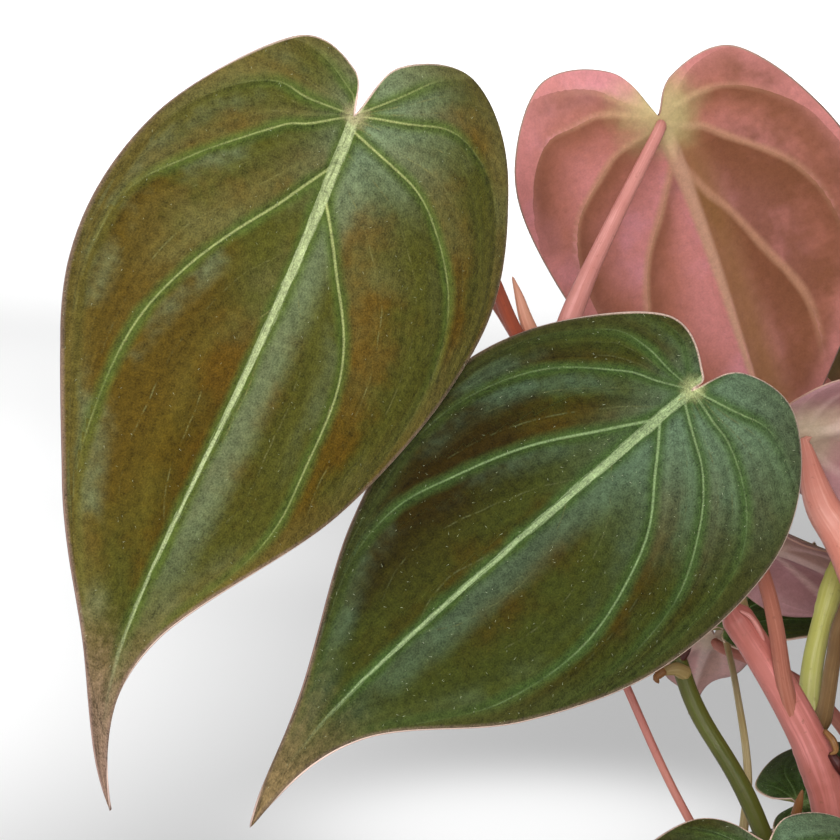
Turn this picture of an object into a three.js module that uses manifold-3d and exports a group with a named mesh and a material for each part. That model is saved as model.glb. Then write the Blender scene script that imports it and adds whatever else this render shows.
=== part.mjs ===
// Potted velvet leaf philodendron: heart-shaped leaves on leaning vines, in soil, in a plain clay pot.
// Millimetres, +Z up. The origin is the centre of the pot's underside.
// Each leaf is one piece, its blade grown together with its stalk. Each vine, the soil and the pot are
// pieces of their own. A leaf is placed by the notch where its blade starts, by the direction and dip
// of its midrib there, and by its roll about that midrib.

import * as THREE from 'three';
import { mergeVertices } from 'three/addons/utils/BufferGeometryUtils.js';
import Module from 'manifold-3d';

const wasm = await Module();
wasm.setup();

// Pot: a clay pot with a banded rim and a drain hole in the middle of its floor
const POT_HEIGHT = 105;
const POT_FOOT_RADIUS = 42;
const POT_RIM_RADIUS = 62;
const POT_BAND_HEIGHT = 20;
const POT_BAND_STEP = 3.5;
const POT_BAND_BEVEL = 1;
const POT_WALL = 5;
const POT_RIM_WALL = 6;
const POT_DRAIN_RADIUS = 6;
const POT_CHAMFER = 1;
const POT_SIDES = 40;

// Soil: fills the pot to a finger's width below the rim, with a hole along each vine's first points
const SOIL_TOP = 95;
const SOIL_LUMP = 1.2;
const SOIL_RINGS = [0.8, 0.55, 0.28];
const SOIL_SIDES = 32;
const HOLE_POINTS = 3;

// Plant: the gap is the one between pieces that touch
const GAP = 0.35;
const MERGE_WITHIN = 0.02;

// Blades. The ripple runs along the margin, and each leaf's starts a golden turn after the last one's.
const BLADE_THICKNESS = 0.7;
const VALLEY_DEPTH = 0.45;
const VALLEY_WIDTH = 3.5;
const LOBE_DROP = 8;
const RIPPLES = 3.2;
const RIPPLE_RIGHT_SHIFT = 0.37;
const GOLDEN_TURN = 0.618;

// Leaf stalks: swollen at the foot, thinner towards the blade. The top end sits in the blade's middle
// surface, a little way along the midrib from the notch.
const STALK_RADIUS = 1;
const STALK_SWELLING = 1.15;
const STALK_TAPER = 0.3;
const STALK_TOP_RADIUS = 0.8;
const STALK_TOP_ALONG = 0.04;
const STALK_TOP_UNDER = 0.35;
const STALK_ARCH = 0.12;
const STALK_SIDES = 6;
const STALK_STEPS_PER_POINT = 2;
const STALK_LEAST_STEPS = 5;

// Vines: swollen at each node
const VINE_SIDES = 8;
const VINE_STEPS_PER_POINT = 2;
const NODE_SWELLING = 1.22;

// A tube's rounded end: how far it sticks out and how wide its face is, in radii
const TUBE_END_LENGTH = 0.35;
const TUBE_END_WIDTH = 0.6;

// Finishes
const POT_COLOR = 0xb8704a;
const SOIL_COLOR = 0x3b2d23;
const LEAF_BRONZE = 0x565b2e;
const LEAF_GREEN = 0x46602f;
const LEAF_DARK = 0x35502f;
const LEAF_ROSE = 0xa0686e;
const LEAF_MAUVE = 0x8c5a66;
const POT_ROUGHNESS = 0.9;
const VINE_ROUGHNESS = 0.6;
const LEAF_ROUGHNESS = 0.7;

// Places along the midrib, as parts of its length, where the margin's points are given
const PLACES = [0, 0.055, 0.13, 0.24, 0.38, 0.56, 0.76, 1];

// Half outlines: how far along the midrib, in midrib lengths, and how far out from it, in half widths,
// the margin lies at each place. Left is the side on the left of someone who walks from notch to tip.
const HEARTS = {
  broad: {
    left: {
      along: [0, -0.09, -0.13, -0.02, 0.19, 0.5, 0.78, 1],
      out: [0, 0.13, 0.54, 0.91, 1.1, 0.8, 0.14, 0],
    },
    right: {
      along: [0, -0.06, -0.07, 0.11, 0.34, 0.63, 0.83, 1],
      out: [0, 0.09, 0.42, 0.91, 0.99, 0.58, 0.16, 0],
    },
  },
  full: {
    left: {
      along: [0, -0.09, -0.11, 0.05, 0.33, 0.58, 0.79, 1],
      out: [0, 0.11, 0.47, 0.94, 1, 0.73, 0.21, 0],
    },
    right: {
      along: [0, -0.03, -0.05, 0.13, 0.34, 0.58, 0.81, 1],
      out: [0, 0.03, 0.39, 0.82, 0.91, 0.65, 0.19, 0],
    },
  },
  round: {
    left: {
      along: [0, -0.13, -0.18, -0.03, 0.25, 0.62, 0.89, 1],
      out: [0, 0.13, 0.55, 0.9, 0.93, 0.72, 0.32, 0],
    },
    right: {
      along: [0, -0.07, -0.07, 0.12, 0.34, 0.65, 0.9, 1],
      out: [0, 0.17, 0.56, 0.85, 0.97, 0.8, 0.33, 0],
    },
  },
  even: {
    left: {
      along: [0, -0.08, -0.1, 0.04, 0.3, 0.57, 0.81, 1],
      out: [0, 0.12, 0.48, 0.92, 1, 0.7, 0.19, 0],
    },
    right: {
      along: [0, -0.07, -0.09, 0.06, 0.3, 0.59, 0.82, 1],
      out: [0, 0.1, 0.45, 0.9, 0.98, 0.67, 0.18, 0],
    },
  },
};

// Vines: points from 15 mm under the soil to the growing tip, with the radius at each.
// A point is a node, where a leaf stalk can leave the vine.
const VINES = {
  vine_main: {
    points: [
      [-17, -8, 80], [-19.5, -9, 103], [-22.5, -10, 126], [-26.2, -10.5, 146.3],
      [-38.3, -12, 168.3], [-51.9, -12.5, 186.5], [-65.4, -13, 202.5], [-69.5, -11.5, 216],
    ],
    radii: [2.7, 2.7, 2.7, 2.6, 1.9, 1.7, 1.5, 0.4],
    color: 0xc4686a,
  },
  vine_olive: {
    points: [
      [-12, -22, 80], [-20, -21, 103], [-28.5, -20, 123],
      [-36.5, -18.5, 143], [-43.5, -16.5, 155], [-46.6, -15.5, 163],
    ],
    radii: [1.6, 1.6, 1.6, 1.5, 1.45, 1.4],
    color: 0x6c7a2c,
  },
  vine_lime: {
    points: [
      [-3, 2, 80], [-10, 2, 104], [-19, 0.5, 126], [-25.6, 0.3, 149],
      [-23.8, 3.5, 168], [-15, 14.5, 185], [-4, 22, 203],
    ],
    radii: [1.7, 1.7, 1.6, 1.4, 1.3, 1.2, 1.0],
    color: 0xb9b958,
  },
  vine_back: {
    points: [[-9, 18, 80], [-10, 28, 105], [-12, 38, 131], [-13, 44, 157], [-14, 48, 182], [-18, 51, 204]],
    radii: [2.0, 2.0, 1.9, 1.8, 1.6, 1.3],
    color: 0x9c7046,
  },
  vine_right: {
    points: [[18, -10, 80], [24, -14, 105], [37, -20, 130], [53, -25, 153], [68, -28, 174], [80, -28, 194]],
    radii: [2.1, 2.1, 2.0, 1.8, 1.6, 1.3],
    color: 0xb4696a,
  },
  vine_rear: {
    points: [[14, 14, 80], [20, 18, 105], [32, 26, 131], [45, 33, 156], [57, 38, 180], [65, 42, 200]],
    radii: [2.0, 2.0, 1.9, 1.7, 1.5, 1.2],
    color: 0xa9895a,
  },
};

// What a leaf has unless its entry says otherwise
const USUAL = {
  heart: 'even', bend: [0.25, 0.3], fold: 0.14, curl: 0.42, lobe: 0.3, sweep: 0, hook: 0, wave: 1,
  by: [], color: LEAF_GREEN,
};

// Leaves: vine and node are where the stalk leaves, at is the notch, by are points the stalk passes.
// Azimuth 0 is +X, a dip of 90 hangs straight down, and roll lifts the left side.
const LEAVES = [
  // The large ones in front
  {
    name: 'leaf_left', heart: 'broad', vine: 'vine_main', node: 6, at: [-91.6, -32.4, 243.7],
    by: [[-69.7, -15, 210.1], [-77, -22, 226]],
    az: -129, dip: 57, roll: -53.5, long: 99, wide: 27.5, bend: [0.25, 0.25], sweep: -0.06,
    hook: -0.13, wave: 0.5, fine: true, color: LEAF_BRONZE,
  },
  {
    name: 'leaf_centre', heart: 'full', vine: 'vine_main', node: 3, at: [-45, -28.4, 204.6],
    by: [[-30, -15, 158.5], [-34.5, -19, 176]],
    az: -149.5, dip: 32.5, roll: -58, long: 84, wide: 26, bend: [0.3, 0.35], hook: -0.06,
    wave: 0.5, fine: true,
  },
  {
    name: 'leaf_pink', heart: 'round', vine: 'vine_main', node: 6, at: [-49, 21, 235.1],
    by: [[-61.7, -3, 209.4], [-57.3, 6, 217.6]],
    az: 50, dip: 56.5, roll: -51, long: 61, wide: 25, bend: [0.15, 0.2], fold: 0.12,
    curl: 0.26, lobe: -0.2, sweep: 0.09, hook: 0.03, wave: 0.4, fine: true, color: LEAF_ROSE,
  },
  // Smaller ones among the stems on the right of the front view
  {
    name: 'leaf_mauve', vine: 'vine_lime', node: 1, at: [-29.1, 1, 192.3],
    by: [[-4, -7, 124], [-12, -8, 149], [-21.5, -7, 175.1], [-26, -5.5, 183.3]],
    stalk: [1.6, 2.2, 2.8, 2.8, 2.4],
    az: 8, dip: -8, roll: -64, long: 38, wide: 11, curl: 0.5, color: LEAF_MAUVE,
  },
  {
    name: 'leaf_dusky', vine: 'vine_main', node: 4, at: [-37.1, 16.0, 175.0],
    az: 12, dip: 24, roll: -34, long: 42, wide: 11, color: LEAF_MAUVE,
  },
  {
    name: 'leaf_shaded', vine: 'vine_back', node: 1, at: [-38.3, 28.0, 157.7],
    by: [[-27, 10, 110], [-36, -2, 126], [-35.7, -1, 142], [-37, 10, 152]],
    az: 60, dip: -20, roll: 4, long: 32, wide: 12,
  },
  {
    name: 'leaf_rosy', vine: 'vine_back', node: 2, at: [-39.3, 37.0, 155.0],
    by: [[-25, 37, 145]],
    az: 100, dip: 35, roll: 0, long: 24, wide: 7, color: LEAF_ROSE,
  },
  {
    name: 'leaf_low_dark', vine: 'vine_back', node: 2, at: [-27.5, 15.0, 134.3],
    by: [[-20, 24, 126]],
    az: 7, dip: -6, roll: 25, long: 48, wide: 16, color: LEAF_DARK,
  },
  {
    name: 'leaf_front_low', heart: 'full', vine: 'vine_olive', node: 1, at: [-34.9, -36, 140.5],
    by: [[-28, -31, 122]],
    az: -98, dip: 38, roll: -14, long: 76, wide: 27,
  },
  // Behind the large ones
  {
    name: 'leaf_behind_centre', vine: 'vine_olive', node: 1, at: [-66.1, -6, 189.2],
    by: [[-33, -16, 121], [-44.6, -14, 140.2], [-53.3, -11, 158.7]],
    az: 100, dip: 25, roll: 0, long: 60, wide: 20,
  },
  {
    name: 'leaf_behind_left', heart: 'broad', vine: 'vine_main', node: 6, at: [-84, 5, 222],
    az: 150, dip: 40, roll: 0, long: 66, wide: 21,
  },
  // Right side
  {
    name: 'leaf_right_top', heart: 'full', vine: 'vine_right', node: 5, at: [102, -36, 218],
    az: -18, dip: 56, roll: 10, long: 80, wide: 26,
  },
  {
    name: 'leaf_right_front', heart: 'broad', vine: 'vine_right', node: 4, at: [60, -42, 216],
    az: -105, dip: 55, roll: 8, long: 78, wide: 25,
  },
  {
    name: 'leaf_right_low', vine: 'vine_right', node: 3, at: [80, -48, 174],
    az: -45, dip: 48, roll: -8, long: 68, wide: 22,
  },
  {
    name: 'leaf_front_right', vine: 'vine_right', node: 1, at: [32, -48, 140],
    az: -78, dip: 36, roll: 5, long: 64, wide: 21,
  },
  {
    name: 'leaf_front_mid', heart: 'full', vine: 'vine_right', node: 2, at: [8, -42, 170],
    az: -98, dip: 44, roll: -6, long: 72, wide: 23,
  },
  {
    name: 'leaf_rear_top', heart: 'full', vine: 'vine_rear', node: 5, at: [80, 46, 224],
    az: 30, dip: 52, roll: -4, long: 74, wide: 24,
  },
  {
    name: 'leaf_rear_right', vine: 'vine_rear', node: 3, at: [76, 20, 184],
    az: -5, dip: 50, roll: 6, long: 68, wide: 22,
  },
  {
    name: 'leaf_rear_back', heart: 'broad', vine: 'vine_rear', node: 4, at: [44, 56, 212],
    az: 95, dip: 58, roll: 6, long: 68, wide: 22,
  },
  {
    name: 'leaf_top', vine: 'vine_lime', node: 6, at: [6, 24, 234],
    az: 20, dip: 45, roll: 0, long: 62, wide: 21,
  },
  {
    name: 'leaf_upper', vine: 'vine_lime', node: 3, at: [10, -10, 226],
    by: [[-23.4, -2.8, 157], [-15.5, -3.5, 170], [-5, -12, 195]],
    az: -60, dip: 55, roll: 0, long: 62, wide: 21,
  },
  // Back
  {
    name: 'leaf_back_top', heart: 'broad', vine: 'vine_back', node: 5, at: [-30, 58, 226],
    az: 80, dip: 58, roll: 0, long: 66, wide: 21,
  },
  {
    name: 'leaf_back_left', vine: 'vine_back', node: 4, at: [-44, 58, 200],
    az: 140, dip: 47, roll: 0, long: 64, wide: 21,
  },
  {
    name: 'leaf_back_mid', vine: 'vine_back', node: 3, at: [3, 60, 176],
    az: 72, dip: 50, roll: 0, long: 62, wide: 21,
  },
  {
    name: 'leaf_back_right', vine: 'vine_rear', node: 1, at: [34, 48, 138],
    az: 60, dip: 46, roll: 0, long: 60, wide: 20,
  },
  {
    name: 'leaf_back_low', vine: 'vine_back', node: 1, at: [-30, 46, 121],
    az: 125, dip: 36, roll: 0, long: 56, wide: 19,
  },
];

// Rows of points along a blade, as parts of the outline's run, and columns across each half
const FINE_ROWS = [0.05, 0.1, 0.15, 0.21, 0.28, 0.36, 0.44, 0.52, 0.6, 0.67, 0.73, 0.79, 0.84, 0.9, 0.95];
const FINE_COLUMNS = [0.17, 0.34, 0.52, 0.68, 0.85, 1];
const PLAIN_ROWS = [0.06, 0.13, 0.2, 0.29, 0.38, 0.47, 0.57, 0.68, 0.8, 0.92];
const PLAIN_COLUMNS = [0.36, 0.7, 1];

// The three side veins of each half: the place along the midrib where vein and spoke meet is
// start + slope times the share across + hook times its seventh power
const VEINS = [
  { start: 0.08, slope: 0.52, hook: 0.15 },
  { start: 0, slope: 0.3, hook: 0.22 },
  { start: 0, slope: 0.15, hook: 0.2 },
];

const degrees = THREE.MathUtils.degToRad;
const vector = (p) => new THREE.Vector3(...p);

// Catmull-Rom through rows of numbers, with the ends run on straight
function smoothRow(rows, t) {
  const last = rows.length - 1;
  const x = Math.min(Math.max(t, 0), 1) * last;
  const i = Math.min(Math.floor(x), last - 1);
  const f = x - i;
  const b = rows[i];
  const c = rows[i + 1];
  const a = i > 0 ? rows[i - 1] : b.map((n, k) => 2 * n - c[k]);
  const d = i + 2 <= last ? rows[i + 2] : c.map((n, k) => 2 * n - b[k]);
  return b.map((n, k) => 0.5 * (2 * n + (c[k] - a[k]) * f
    + (2 * a[k] - 5 * n + 4 * c[k] - d[k]) * f * f
    + (3 * n - a[k] - 3 * c[k] + d[k]) * f * f * f));
}

function outlineRows(half) {
  return PLACES.map((u, i) => [u, half.along[i], half.out[i]]);
}

// Depth of the valleys in which the midrib and the side veins run
function valley(leaf, u, share, y) {
  let depth = Math.exp(-((y / VALLEY_WIDTH) ** 2));
  for (const vein of VEINS) {
    const meets = vein.start + vein.slope * share + vein.hook * share ** 7;
    depth += Math.exp(-(((u - meets) * leaf.long / VALLEY_WIDTH) ** 2));
  }
  return VALLEY_DEPTH * depth;
}

// A point of a blade's middle surface in its own axes: x along the midrib, y to the left, z up.
// run goes from 0 at the notch to 1 at the tip, v from -1 at the right margin to 1 at the left one.
function bladePoint(leaf, run, v) {
  const half = v < 0 ? HEARTS[leaf.heart].right : HEARTS[leaf.heart].left;
  const [u, along, out] = smoothRow(outlineRows(half), run);
  const share = Math.abs(v);
  const t = u + (along - u) * share;
  const y = Math.sign(v) * out * leaf.wide * share;
  const behind = Math.min(t, 0);
  const ahead = Math.max(t, 0);
  const slope = leaf.bend[0] * ahead + leaf.bend[1] * ahead ** 3;
  const drop = leaf.bend[0] * ahead ** 2 / 2 + leaf.bend[1] * ahead ** 4 / 4
    + leaf.lobe * LOBE_DROP * behind ** 2;
  const across = Math.abs(y) / leaf.wide;
  const phase = leaf.phase + (v < 0 ? RIPPLE_RIGHT_SHIFT : 0);
  const ripple = leaf.wave * share ** 3 * Math.sin(2 * Math.PI * (RIPPLES * u + phase));
  const arch = leaf.wide * (leaf.fold * across - leaf.curl * across ** 2);
  const height = arch + ripple - valley(leaf, u, share, y);
  const lean = 1 / Math.hypot(1, slope);
  const side = leaf.sweep * ahead ** 2 - leaf.hook * ahead ** 8;
  return new THREE.Vector3(
    t * leaf.long + slope * lean * height,
    y + side * leaf.long,
    -drop * leaf.long + lean * height,
  );
}

// The leaf's axes in the plant: midrib direction, left and up, as the columns of a matrix
function leafFrame(leaf) {
  const az = degrees(leaf.az);
  const dip = degrees(leaf.dip);
  const level = new THREE.Vector3(Math.cos(az), Math.sin(az), 0);
  const plumb = new THREE.Vector3(0, 0, 1);
  const forward = level.clone().multiplyScalar(Math.cos(dip)).addScaledVector(plumb, -Math.sin(dip));
  const up = level.clone().multiplyScalar(Math.sin(dip)).addScaledVector(plumb, Math.cos(dip));
  up.applyAxisAngle(forward, degrees(leaf.roll));
  const left = new THREE.Vector3().crossVectors(up, forward);
  return new THREE.Matrix4().makeBasis(forward, left, up).setPosition(...leaf.at);
}

function buildGeometry(points, faces) {
  const geometry = new THREE.BufferGeometry();
  geometry.setAttribute('position', new THREE.Float32BufferAttribute(points.flatMap((p) => p.toArray()), 3));
  geometry.setIndex(faces.flat());
  return geometry;
}

// A closed thin blade: the middle surface moved half its thickness up and down, with a rim all round
function bladeGeometry(leaf) {
  const rows = leaf.fine ? FINE_ROWS : PLAIN_ROWS;
  const half = leaf.fine ? FINE_COLUMNS : PLAIN_COLUMNS;
  const columns = [...half.map((v) => -v).reverse(), 0, ...half];
  const width = columns.length;
  const points = rows.flatMap((run) => columns.map((v) => bladePoint(leaf, run, v)));
  const notch = points.push(bladePoint(leaf, 0, 0)) - 1;
  const tip = points.push(bladePoint(leaf, 1, 0)) - 1;
  const faces = [];
  for (let c = 0; c + 1 < width; c += 1) {
    faces.push([notch, c, c + 1]);
    faces.push([tip, (rows.length - 1) * width + c + 1, (rows.length - 1) * width + c]);
    for (let r = 0; r + 1 < rows.length; r += 1) {
      const a = r * width + c;
      const b = a + width;
      faces.push([a, b, b + 1], [a, b + 1, a + 1]);
    }
  }
  const middle = buildGeometry(points, faces);
  middle.computeVertexNormals();
  const normals = middle.getAttribute('normal');
  const shifted = (amount) => points.map((p, i) => new THREE.Vector3().fromBufferAttribute(normals, i)
    .multiplyScalar(amount).add(p));
  const count = points.length;
  const right = rows.map((_, r) => r * width);
  const left = right.map((p) => p + width - 1).reverse();
  const rim = [notch, ...right, tip, ...left];
  const edge = rim.flatMap((p, i) => {
    const q = rim[(i + 1) % rim.length];
    return [[p, p + count, q + count], [p, q + count, q]];
  });
  const under = faces.map(([a, b, c]) => [a + count, c + count, b + count]);
  const both = [...shifted(BLADE_THICKNESS / 2), ...shifted(-BLADE_THICKNESS / 2)];
  return buildGeometry(both, [...faces, ...under, ...edge]).applyMatrix4(leafFrame(leaf));
}

// A closed round tube along smoothed points, with a radius for each point and dome-like ends
function tubeGeometry(points, radii, sides, steps) {
  const rows = points.map((p, i) => [...p, radii[i]]);
  const rings = [];
  for (let i = 0; i <= steps; i += 1) {
    const [x, y, z, radius] = smoothRow(rows, i / steps);
    rings.push({ centre: new THREE.Vector3(x, y, z), radius });
  }
  const along = rings.map((_, i) => new THREE.Vector3()
    .subVectors(rings[Math.min(i + 1, steps)].centre, rings[Math.max(i - 1, 0)].centre).normalize());
  const end = (i, sign) => ({
    centre: rings[i].centre.clone().addScaledVector(along[i], sign * TUBE_END_LENGTH * rings[i].radius),
    radius: TUBE_END_WIDTH * rings[i].radius,
    along: along[i],
  });
  const all = [end(0, -1), ...rings.map((ring, i) => ({ ...ring, along: along[i] })), end(steps, 1)];
  let side = new THREE.Vector3(1, 0, 0).cross(all[0].along).normalize();
  const vertices = [];
  for (const ring of all) {
    side = side.clone().addScaledVector(ring.along, -side.dot(ring.along)).normalize();
    const other = new THREE.Vector3().crossVectors(ring.along, side);
    for (let s = 0; s < sides; s += 1) {
      const angle = 2 * Math.PI * s / sides;
      vertices.push(ring.centre.clone()
        .addScaledVector(side, ring.radius * Math.cos(angle))
        .addScaledVector(other, ring.radius * Math.sin(angle)));
    }
  }
  const first = vertices.push(all[0].centre.clone()) - 1;
  const last = vertices.push(all[all.length - 1].centre.clone()) - 1;
  const faces = [];
  for (let s = 0; s < sides; s += 1) {
    const next = (s + 1) % sides;
    faces.push([first, next, s]);
    faces.push([last, (all.length - 1) * sides + s, (all.length - 1) * sides + next]);
    for (let r = 0; r + 1 < all.length; r += 1) {
      const a = r * sides;
      const b = a + sides;
      faces.push([a + s, a + next, b + next], [a + s, b + next, b + s]);
    }
  }
  return buildGeometry(vertices, faces);
}

function toSolid(geometry) {
  const bare = geometry.clone();
  bare.deleteAttribute('normal');
  bare.deleteAttribute('uv');
  const merged = mergeVertices(bare);
  const vertProperties = new Float32Array(merged.getAttribute('position').array);
  const triVerts = new Uint32Array(merged.getIndex().array);
  return new wasm.Manifold(new wasm.Mesh({ numProp: 3, vertProperties, triVerts }));
}

function toGeometry(solid) {
  const mesh = solid.getMesh();
  const geometry = new THREE.BufferGeometry();
  geometry.setAttribute('position', new THREE.Float32BufferAttribute(mesh.vertProperties, 3));
  geometry.setIndex(Array.from(mesh.triVerts));
  return geometry;
}

function vineRadii(vine) {
  return vine.radii.map((r, i) => (i > 0 ? r * NODE_SWELLING : r));
}

// A stalk's radius at its foot
function stalkFoot(leaf) {
  return leaf.stalk ? leaf.stalk[0] : STALK_RADIUS * STALK_SWELLING;
}

// The points of a leaf's stalk, from just outside its vine to just under the notch
function stalkPoints(leaf) {
  const vine = VINES[leaf.vine];
  const node = vector(vine.points[leaf.node]);
  const axes = leafFrame(leaf);
  const top = new THREE.Vector3(STALK_TOP_ALONG * leaf.long, 0, -STALK_TOP_UNDER).applyMatrix4(axes);
  const by = leaf.by.map(vector);
  if (by.length === 0) {
    const arch = node.clone().lerp(top, 0.5);
    arch.z += STALK_ARCH * node.distanceTo(top);
    by.push(arch);
  }
  const next = vector(vine.points[Math.min(leaf.node + 1, vine.points.length - 1)]);
  const before = vector(vine.points[leaf.node - 1]);
  const along = next.sub(before).normalize();
  const out = by[0].clone().sub(node);
  out.addScaledVector(along, -out.dot(along)).normalize();
  const clear = vineRadii(vine)[leaf.node] + stalkFoot(leaf) + GAP;
  const start = node.clone().addScaledVector(out, clear);
  return [start, ...by, top].map((p) => p.toArray());
}

function leafGeometry(leaf) {
  const points = stalkPoints(leaf);
  const last = points.length - 1;
  const slender = points.map((_, i) => STALK_RADIUS * (STALK_SWELLING - STALK_TAPER * i / last));
  const radii = [...(leaf.stalk ?? slender.slice(0, last)), STALK_TOP_RADIUS];
  const steps = Math.max(last * STALK_STEPS_PER_POINT, STALK_LEAST_STEPS);
  const stalk = toSolid(tubeGeometry(points, radii, STALK_SIDES, steps));
  return toGeometry(toSolid(bladeGeometry(leaf)).add(stalk).simplify(MERGE_WITHIN));
}

function vineGeometry(vine) {
  const steps = (vine.points.length - 1) * VINE_STEPS_PER_POINT;
  return tubeGeometry(vine.points, vineRadii(vine), VINE_SIDES, steps);
}

// A profile of radii and heights turned about the vertical axis
function lathe(profile, sides) {
  const points = profile.map(([r, z]) => new THREE.Vector2(r, z));
  return new THREE.LatheGeometry(points, sides).rotateX(Math.PI / 2);
}

const POT_NECK_RADIUS = POT_RIM_RADIUS - POT_BAND_BEVEL - POT_BAND_STEP;
const POT_INSIDE_RADIUS = POT_FOOT_RADIUS - POT_WALL;
const POT_MOUTH_RADIUS = POT_RIM_RADIUS - POT_RIM_WALL;

function potGeometry() {
  const c = POT_CHAMFER;
  const profile = [
    [POT_DRAIN_RADIUS, 0], [POT_FOOT_RADIUS - c, 0], [POT_FOOT_RADIUS, c],
    [POT_NECK_RADIUS, POT_HEIGHT - POT_BAND_HEIGHT - c],
    [POT_RIM_RADIUS - POT_BAND_BEVEL, POT_HEIGHT - POT_BAND_HEIGHT],
    [POT_RIM_RADIUS, POT_HEIGHT - c], [POT_RIM_RADIUS - c, POT_HEIGHT],
    [POT_MOUTH_RADIUS + c, POT_HEIGHT], [POT_MOUTH_RADIUS, POT_HEIGHT - c],
    [POT_INSIDE_RADIUS, POT_WALL], [POT_DRAIN_RADIUS, POT_WALL], [POT_DRAIN_RADIUS, 0],
  ];
  return lathe(profile, POT_SIDES);
}

function potInsideRadius(z) {
  const share = (z - POT_WALL) / (POT_HEIGHT - POT_CHAMFER - POT_WALL);
  return POT_INSIDE_RADIUS + share * (POT_MOUTH_RADIUS - POT_INSIDE_RADIUS);
}

// The soil's surface: low lumps by a formula, level at the wall
function soilLump(x, y) {
  const level = 1 - Math.min(Math.hypot(x, y) / potInsideRadius(SOIL_TOP), 1) ** 4;
  const lumps = Math.sin(0.31 * x + 1.3) + Math.sin(0.27 * y - 0.6) + 0.7 * Math.sin(0.45 * (x + y));
  return SOIL_LUMP * level * lumps;
}

function soilGeometry() {
  const bottom = POT_WALL + GAP;
  const wide = potInsideRadius(SOIL_TOP) - GAP;
  const profile = [[0, bottom], [potInsideRadius(bottom) - GAP, bottom], [wide, SOIL_TOP]];
  for (const share of SOIL_RINGS) {
    profile.push([share * wide, SOIL_TOP]);
  }
  profile.push([0, SOIL_TOP]);
  const filling = lathe(profile, SOIL_SIDES);
  const position = filling.getAttribute('position');
  for (let i = 0; i < position.count; i += 1) {
    if (position.getZ(i) > SOIL_TOP - 1) {
      position.setZ(i, position.getZ(i) + soilLump(position.getX(i), position.getY(i)));
    }
  }
  let soil = toSolid(filling);
  for (const vine of Object.values(VINES)) {
    const [foot, ...above] = vine.points.slice(0, HOLE_POINTS);
    const points = [[foot[0], foot[1], foot[2] - GAP], ...above];
    const radii = vineRadii(vine).slice(0, HOLE_POINTS).map((r) => r + GAP);
    const steps = (HOLE_POINTS - 1) * VINE_STEPS_PER_POINT;
    soil = soil.subtract(toSolid(tubeGeometry(points, radii, VINE_SIDES, steps)));
  }
  return toGeometry(soil);
}

const plant = new THREE.Group();

function addMesh(name, geometry, color, roughness) {
  const mesh = new THREE.Mesh(geometry, new THREE.MeshStandardMaterial({ color, roughness, metalness: 0 }));
  mesh.name = name;
  plant.add(mesh);
}

addMesh('pot', potGeometry(), POT_COLOR, POT_ROUGHNESS);
addMesh('soil', soilGeometry(), SOIL_COLOR, 1);
for (const [name, vine] of Object.entries(VINES)) {
  addMesh(name, vineGeometry(vine), vine.color, VINE_ROUGHNESS);
}
LEAVES.forEach((entry, i) => {
  const leaf = { ...USUAL, ...entry, phase: (i * GOLDEN_TURN) % 1 };
  addMesh(leaf.name, leafGeometry(leaf), leaf.color, LEAF_ROUGHNESS);
});

export default plant;
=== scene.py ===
# %% [markdown]
# # A potted velvet leaf philodendron
# A small vining house plant: velvety heart-shaped leaves on leaning pink and olive vines, in a plain
# clay pot. The CAD model already holds every leaf, vine, the soil and the pot at real size. Here each
# of them gets a finer piece in the same place, with veins, velvet and hairs that solids can't carry.

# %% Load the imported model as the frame
import math

import bpy
import numpy as np
from mathutils import Matrix, Vector


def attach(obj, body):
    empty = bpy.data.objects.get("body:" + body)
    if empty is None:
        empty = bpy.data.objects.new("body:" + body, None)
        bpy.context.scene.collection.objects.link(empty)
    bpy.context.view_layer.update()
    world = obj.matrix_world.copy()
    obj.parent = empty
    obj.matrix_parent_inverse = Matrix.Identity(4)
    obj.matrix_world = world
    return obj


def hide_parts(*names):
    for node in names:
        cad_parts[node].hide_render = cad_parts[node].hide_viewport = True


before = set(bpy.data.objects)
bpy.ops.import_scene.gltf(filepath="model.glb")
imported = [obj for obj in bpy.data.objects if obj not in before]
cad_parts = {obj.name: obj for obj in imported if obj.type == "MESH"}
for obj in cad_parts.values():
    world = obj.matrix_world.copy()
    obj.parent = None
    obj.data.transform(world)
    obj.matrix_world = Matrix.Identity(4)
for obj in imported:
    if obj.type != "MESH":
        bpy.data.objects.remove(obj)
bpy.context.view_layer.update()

MM = 0.001

# %% [markdown]
# ## The camera
# The photo looks down on the leaves by about 12 degrees and fills its frame with the left half of the
# plant. A long lens from a metre away keeps the leaves as flat on the picture as they are there.

# %% Camera at the photo's angle
CAMERA_TARGET = Vector((-83, 0, 194)) * MM
CAMERA_AWAY = 1000 * MM
CAMERA_TILT = math.radians(12)


def make_aimed(name, data, place, direction):
    """A camera or lamp at a place, looking in a direction."""
    made = bpy.data.objects.new(name, data)
    bpy.context.scene.collection.objects.link(made)
    made.location = place
    made.rotation_euler = direction.to_track_quat("-Z", "Y").to_euler()
    return made


backward = Vector((0, -math.cos(CAMERA_TILT), math.sin(CAMERA_TILT)))
camera = bpy.data.cameras.new("camera")
camera = make_aimed("camera", camera, CAMERA_TARGET + backward * CAMERA_AWAY, -backward)
camera.data.lens = 300
camera.data.sensor_width = 36
camera.data.clip_end = 20
bpy.context.scene.camera = camera
print("Camera at", [round(c, 3) for c in camera.location])
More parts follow.
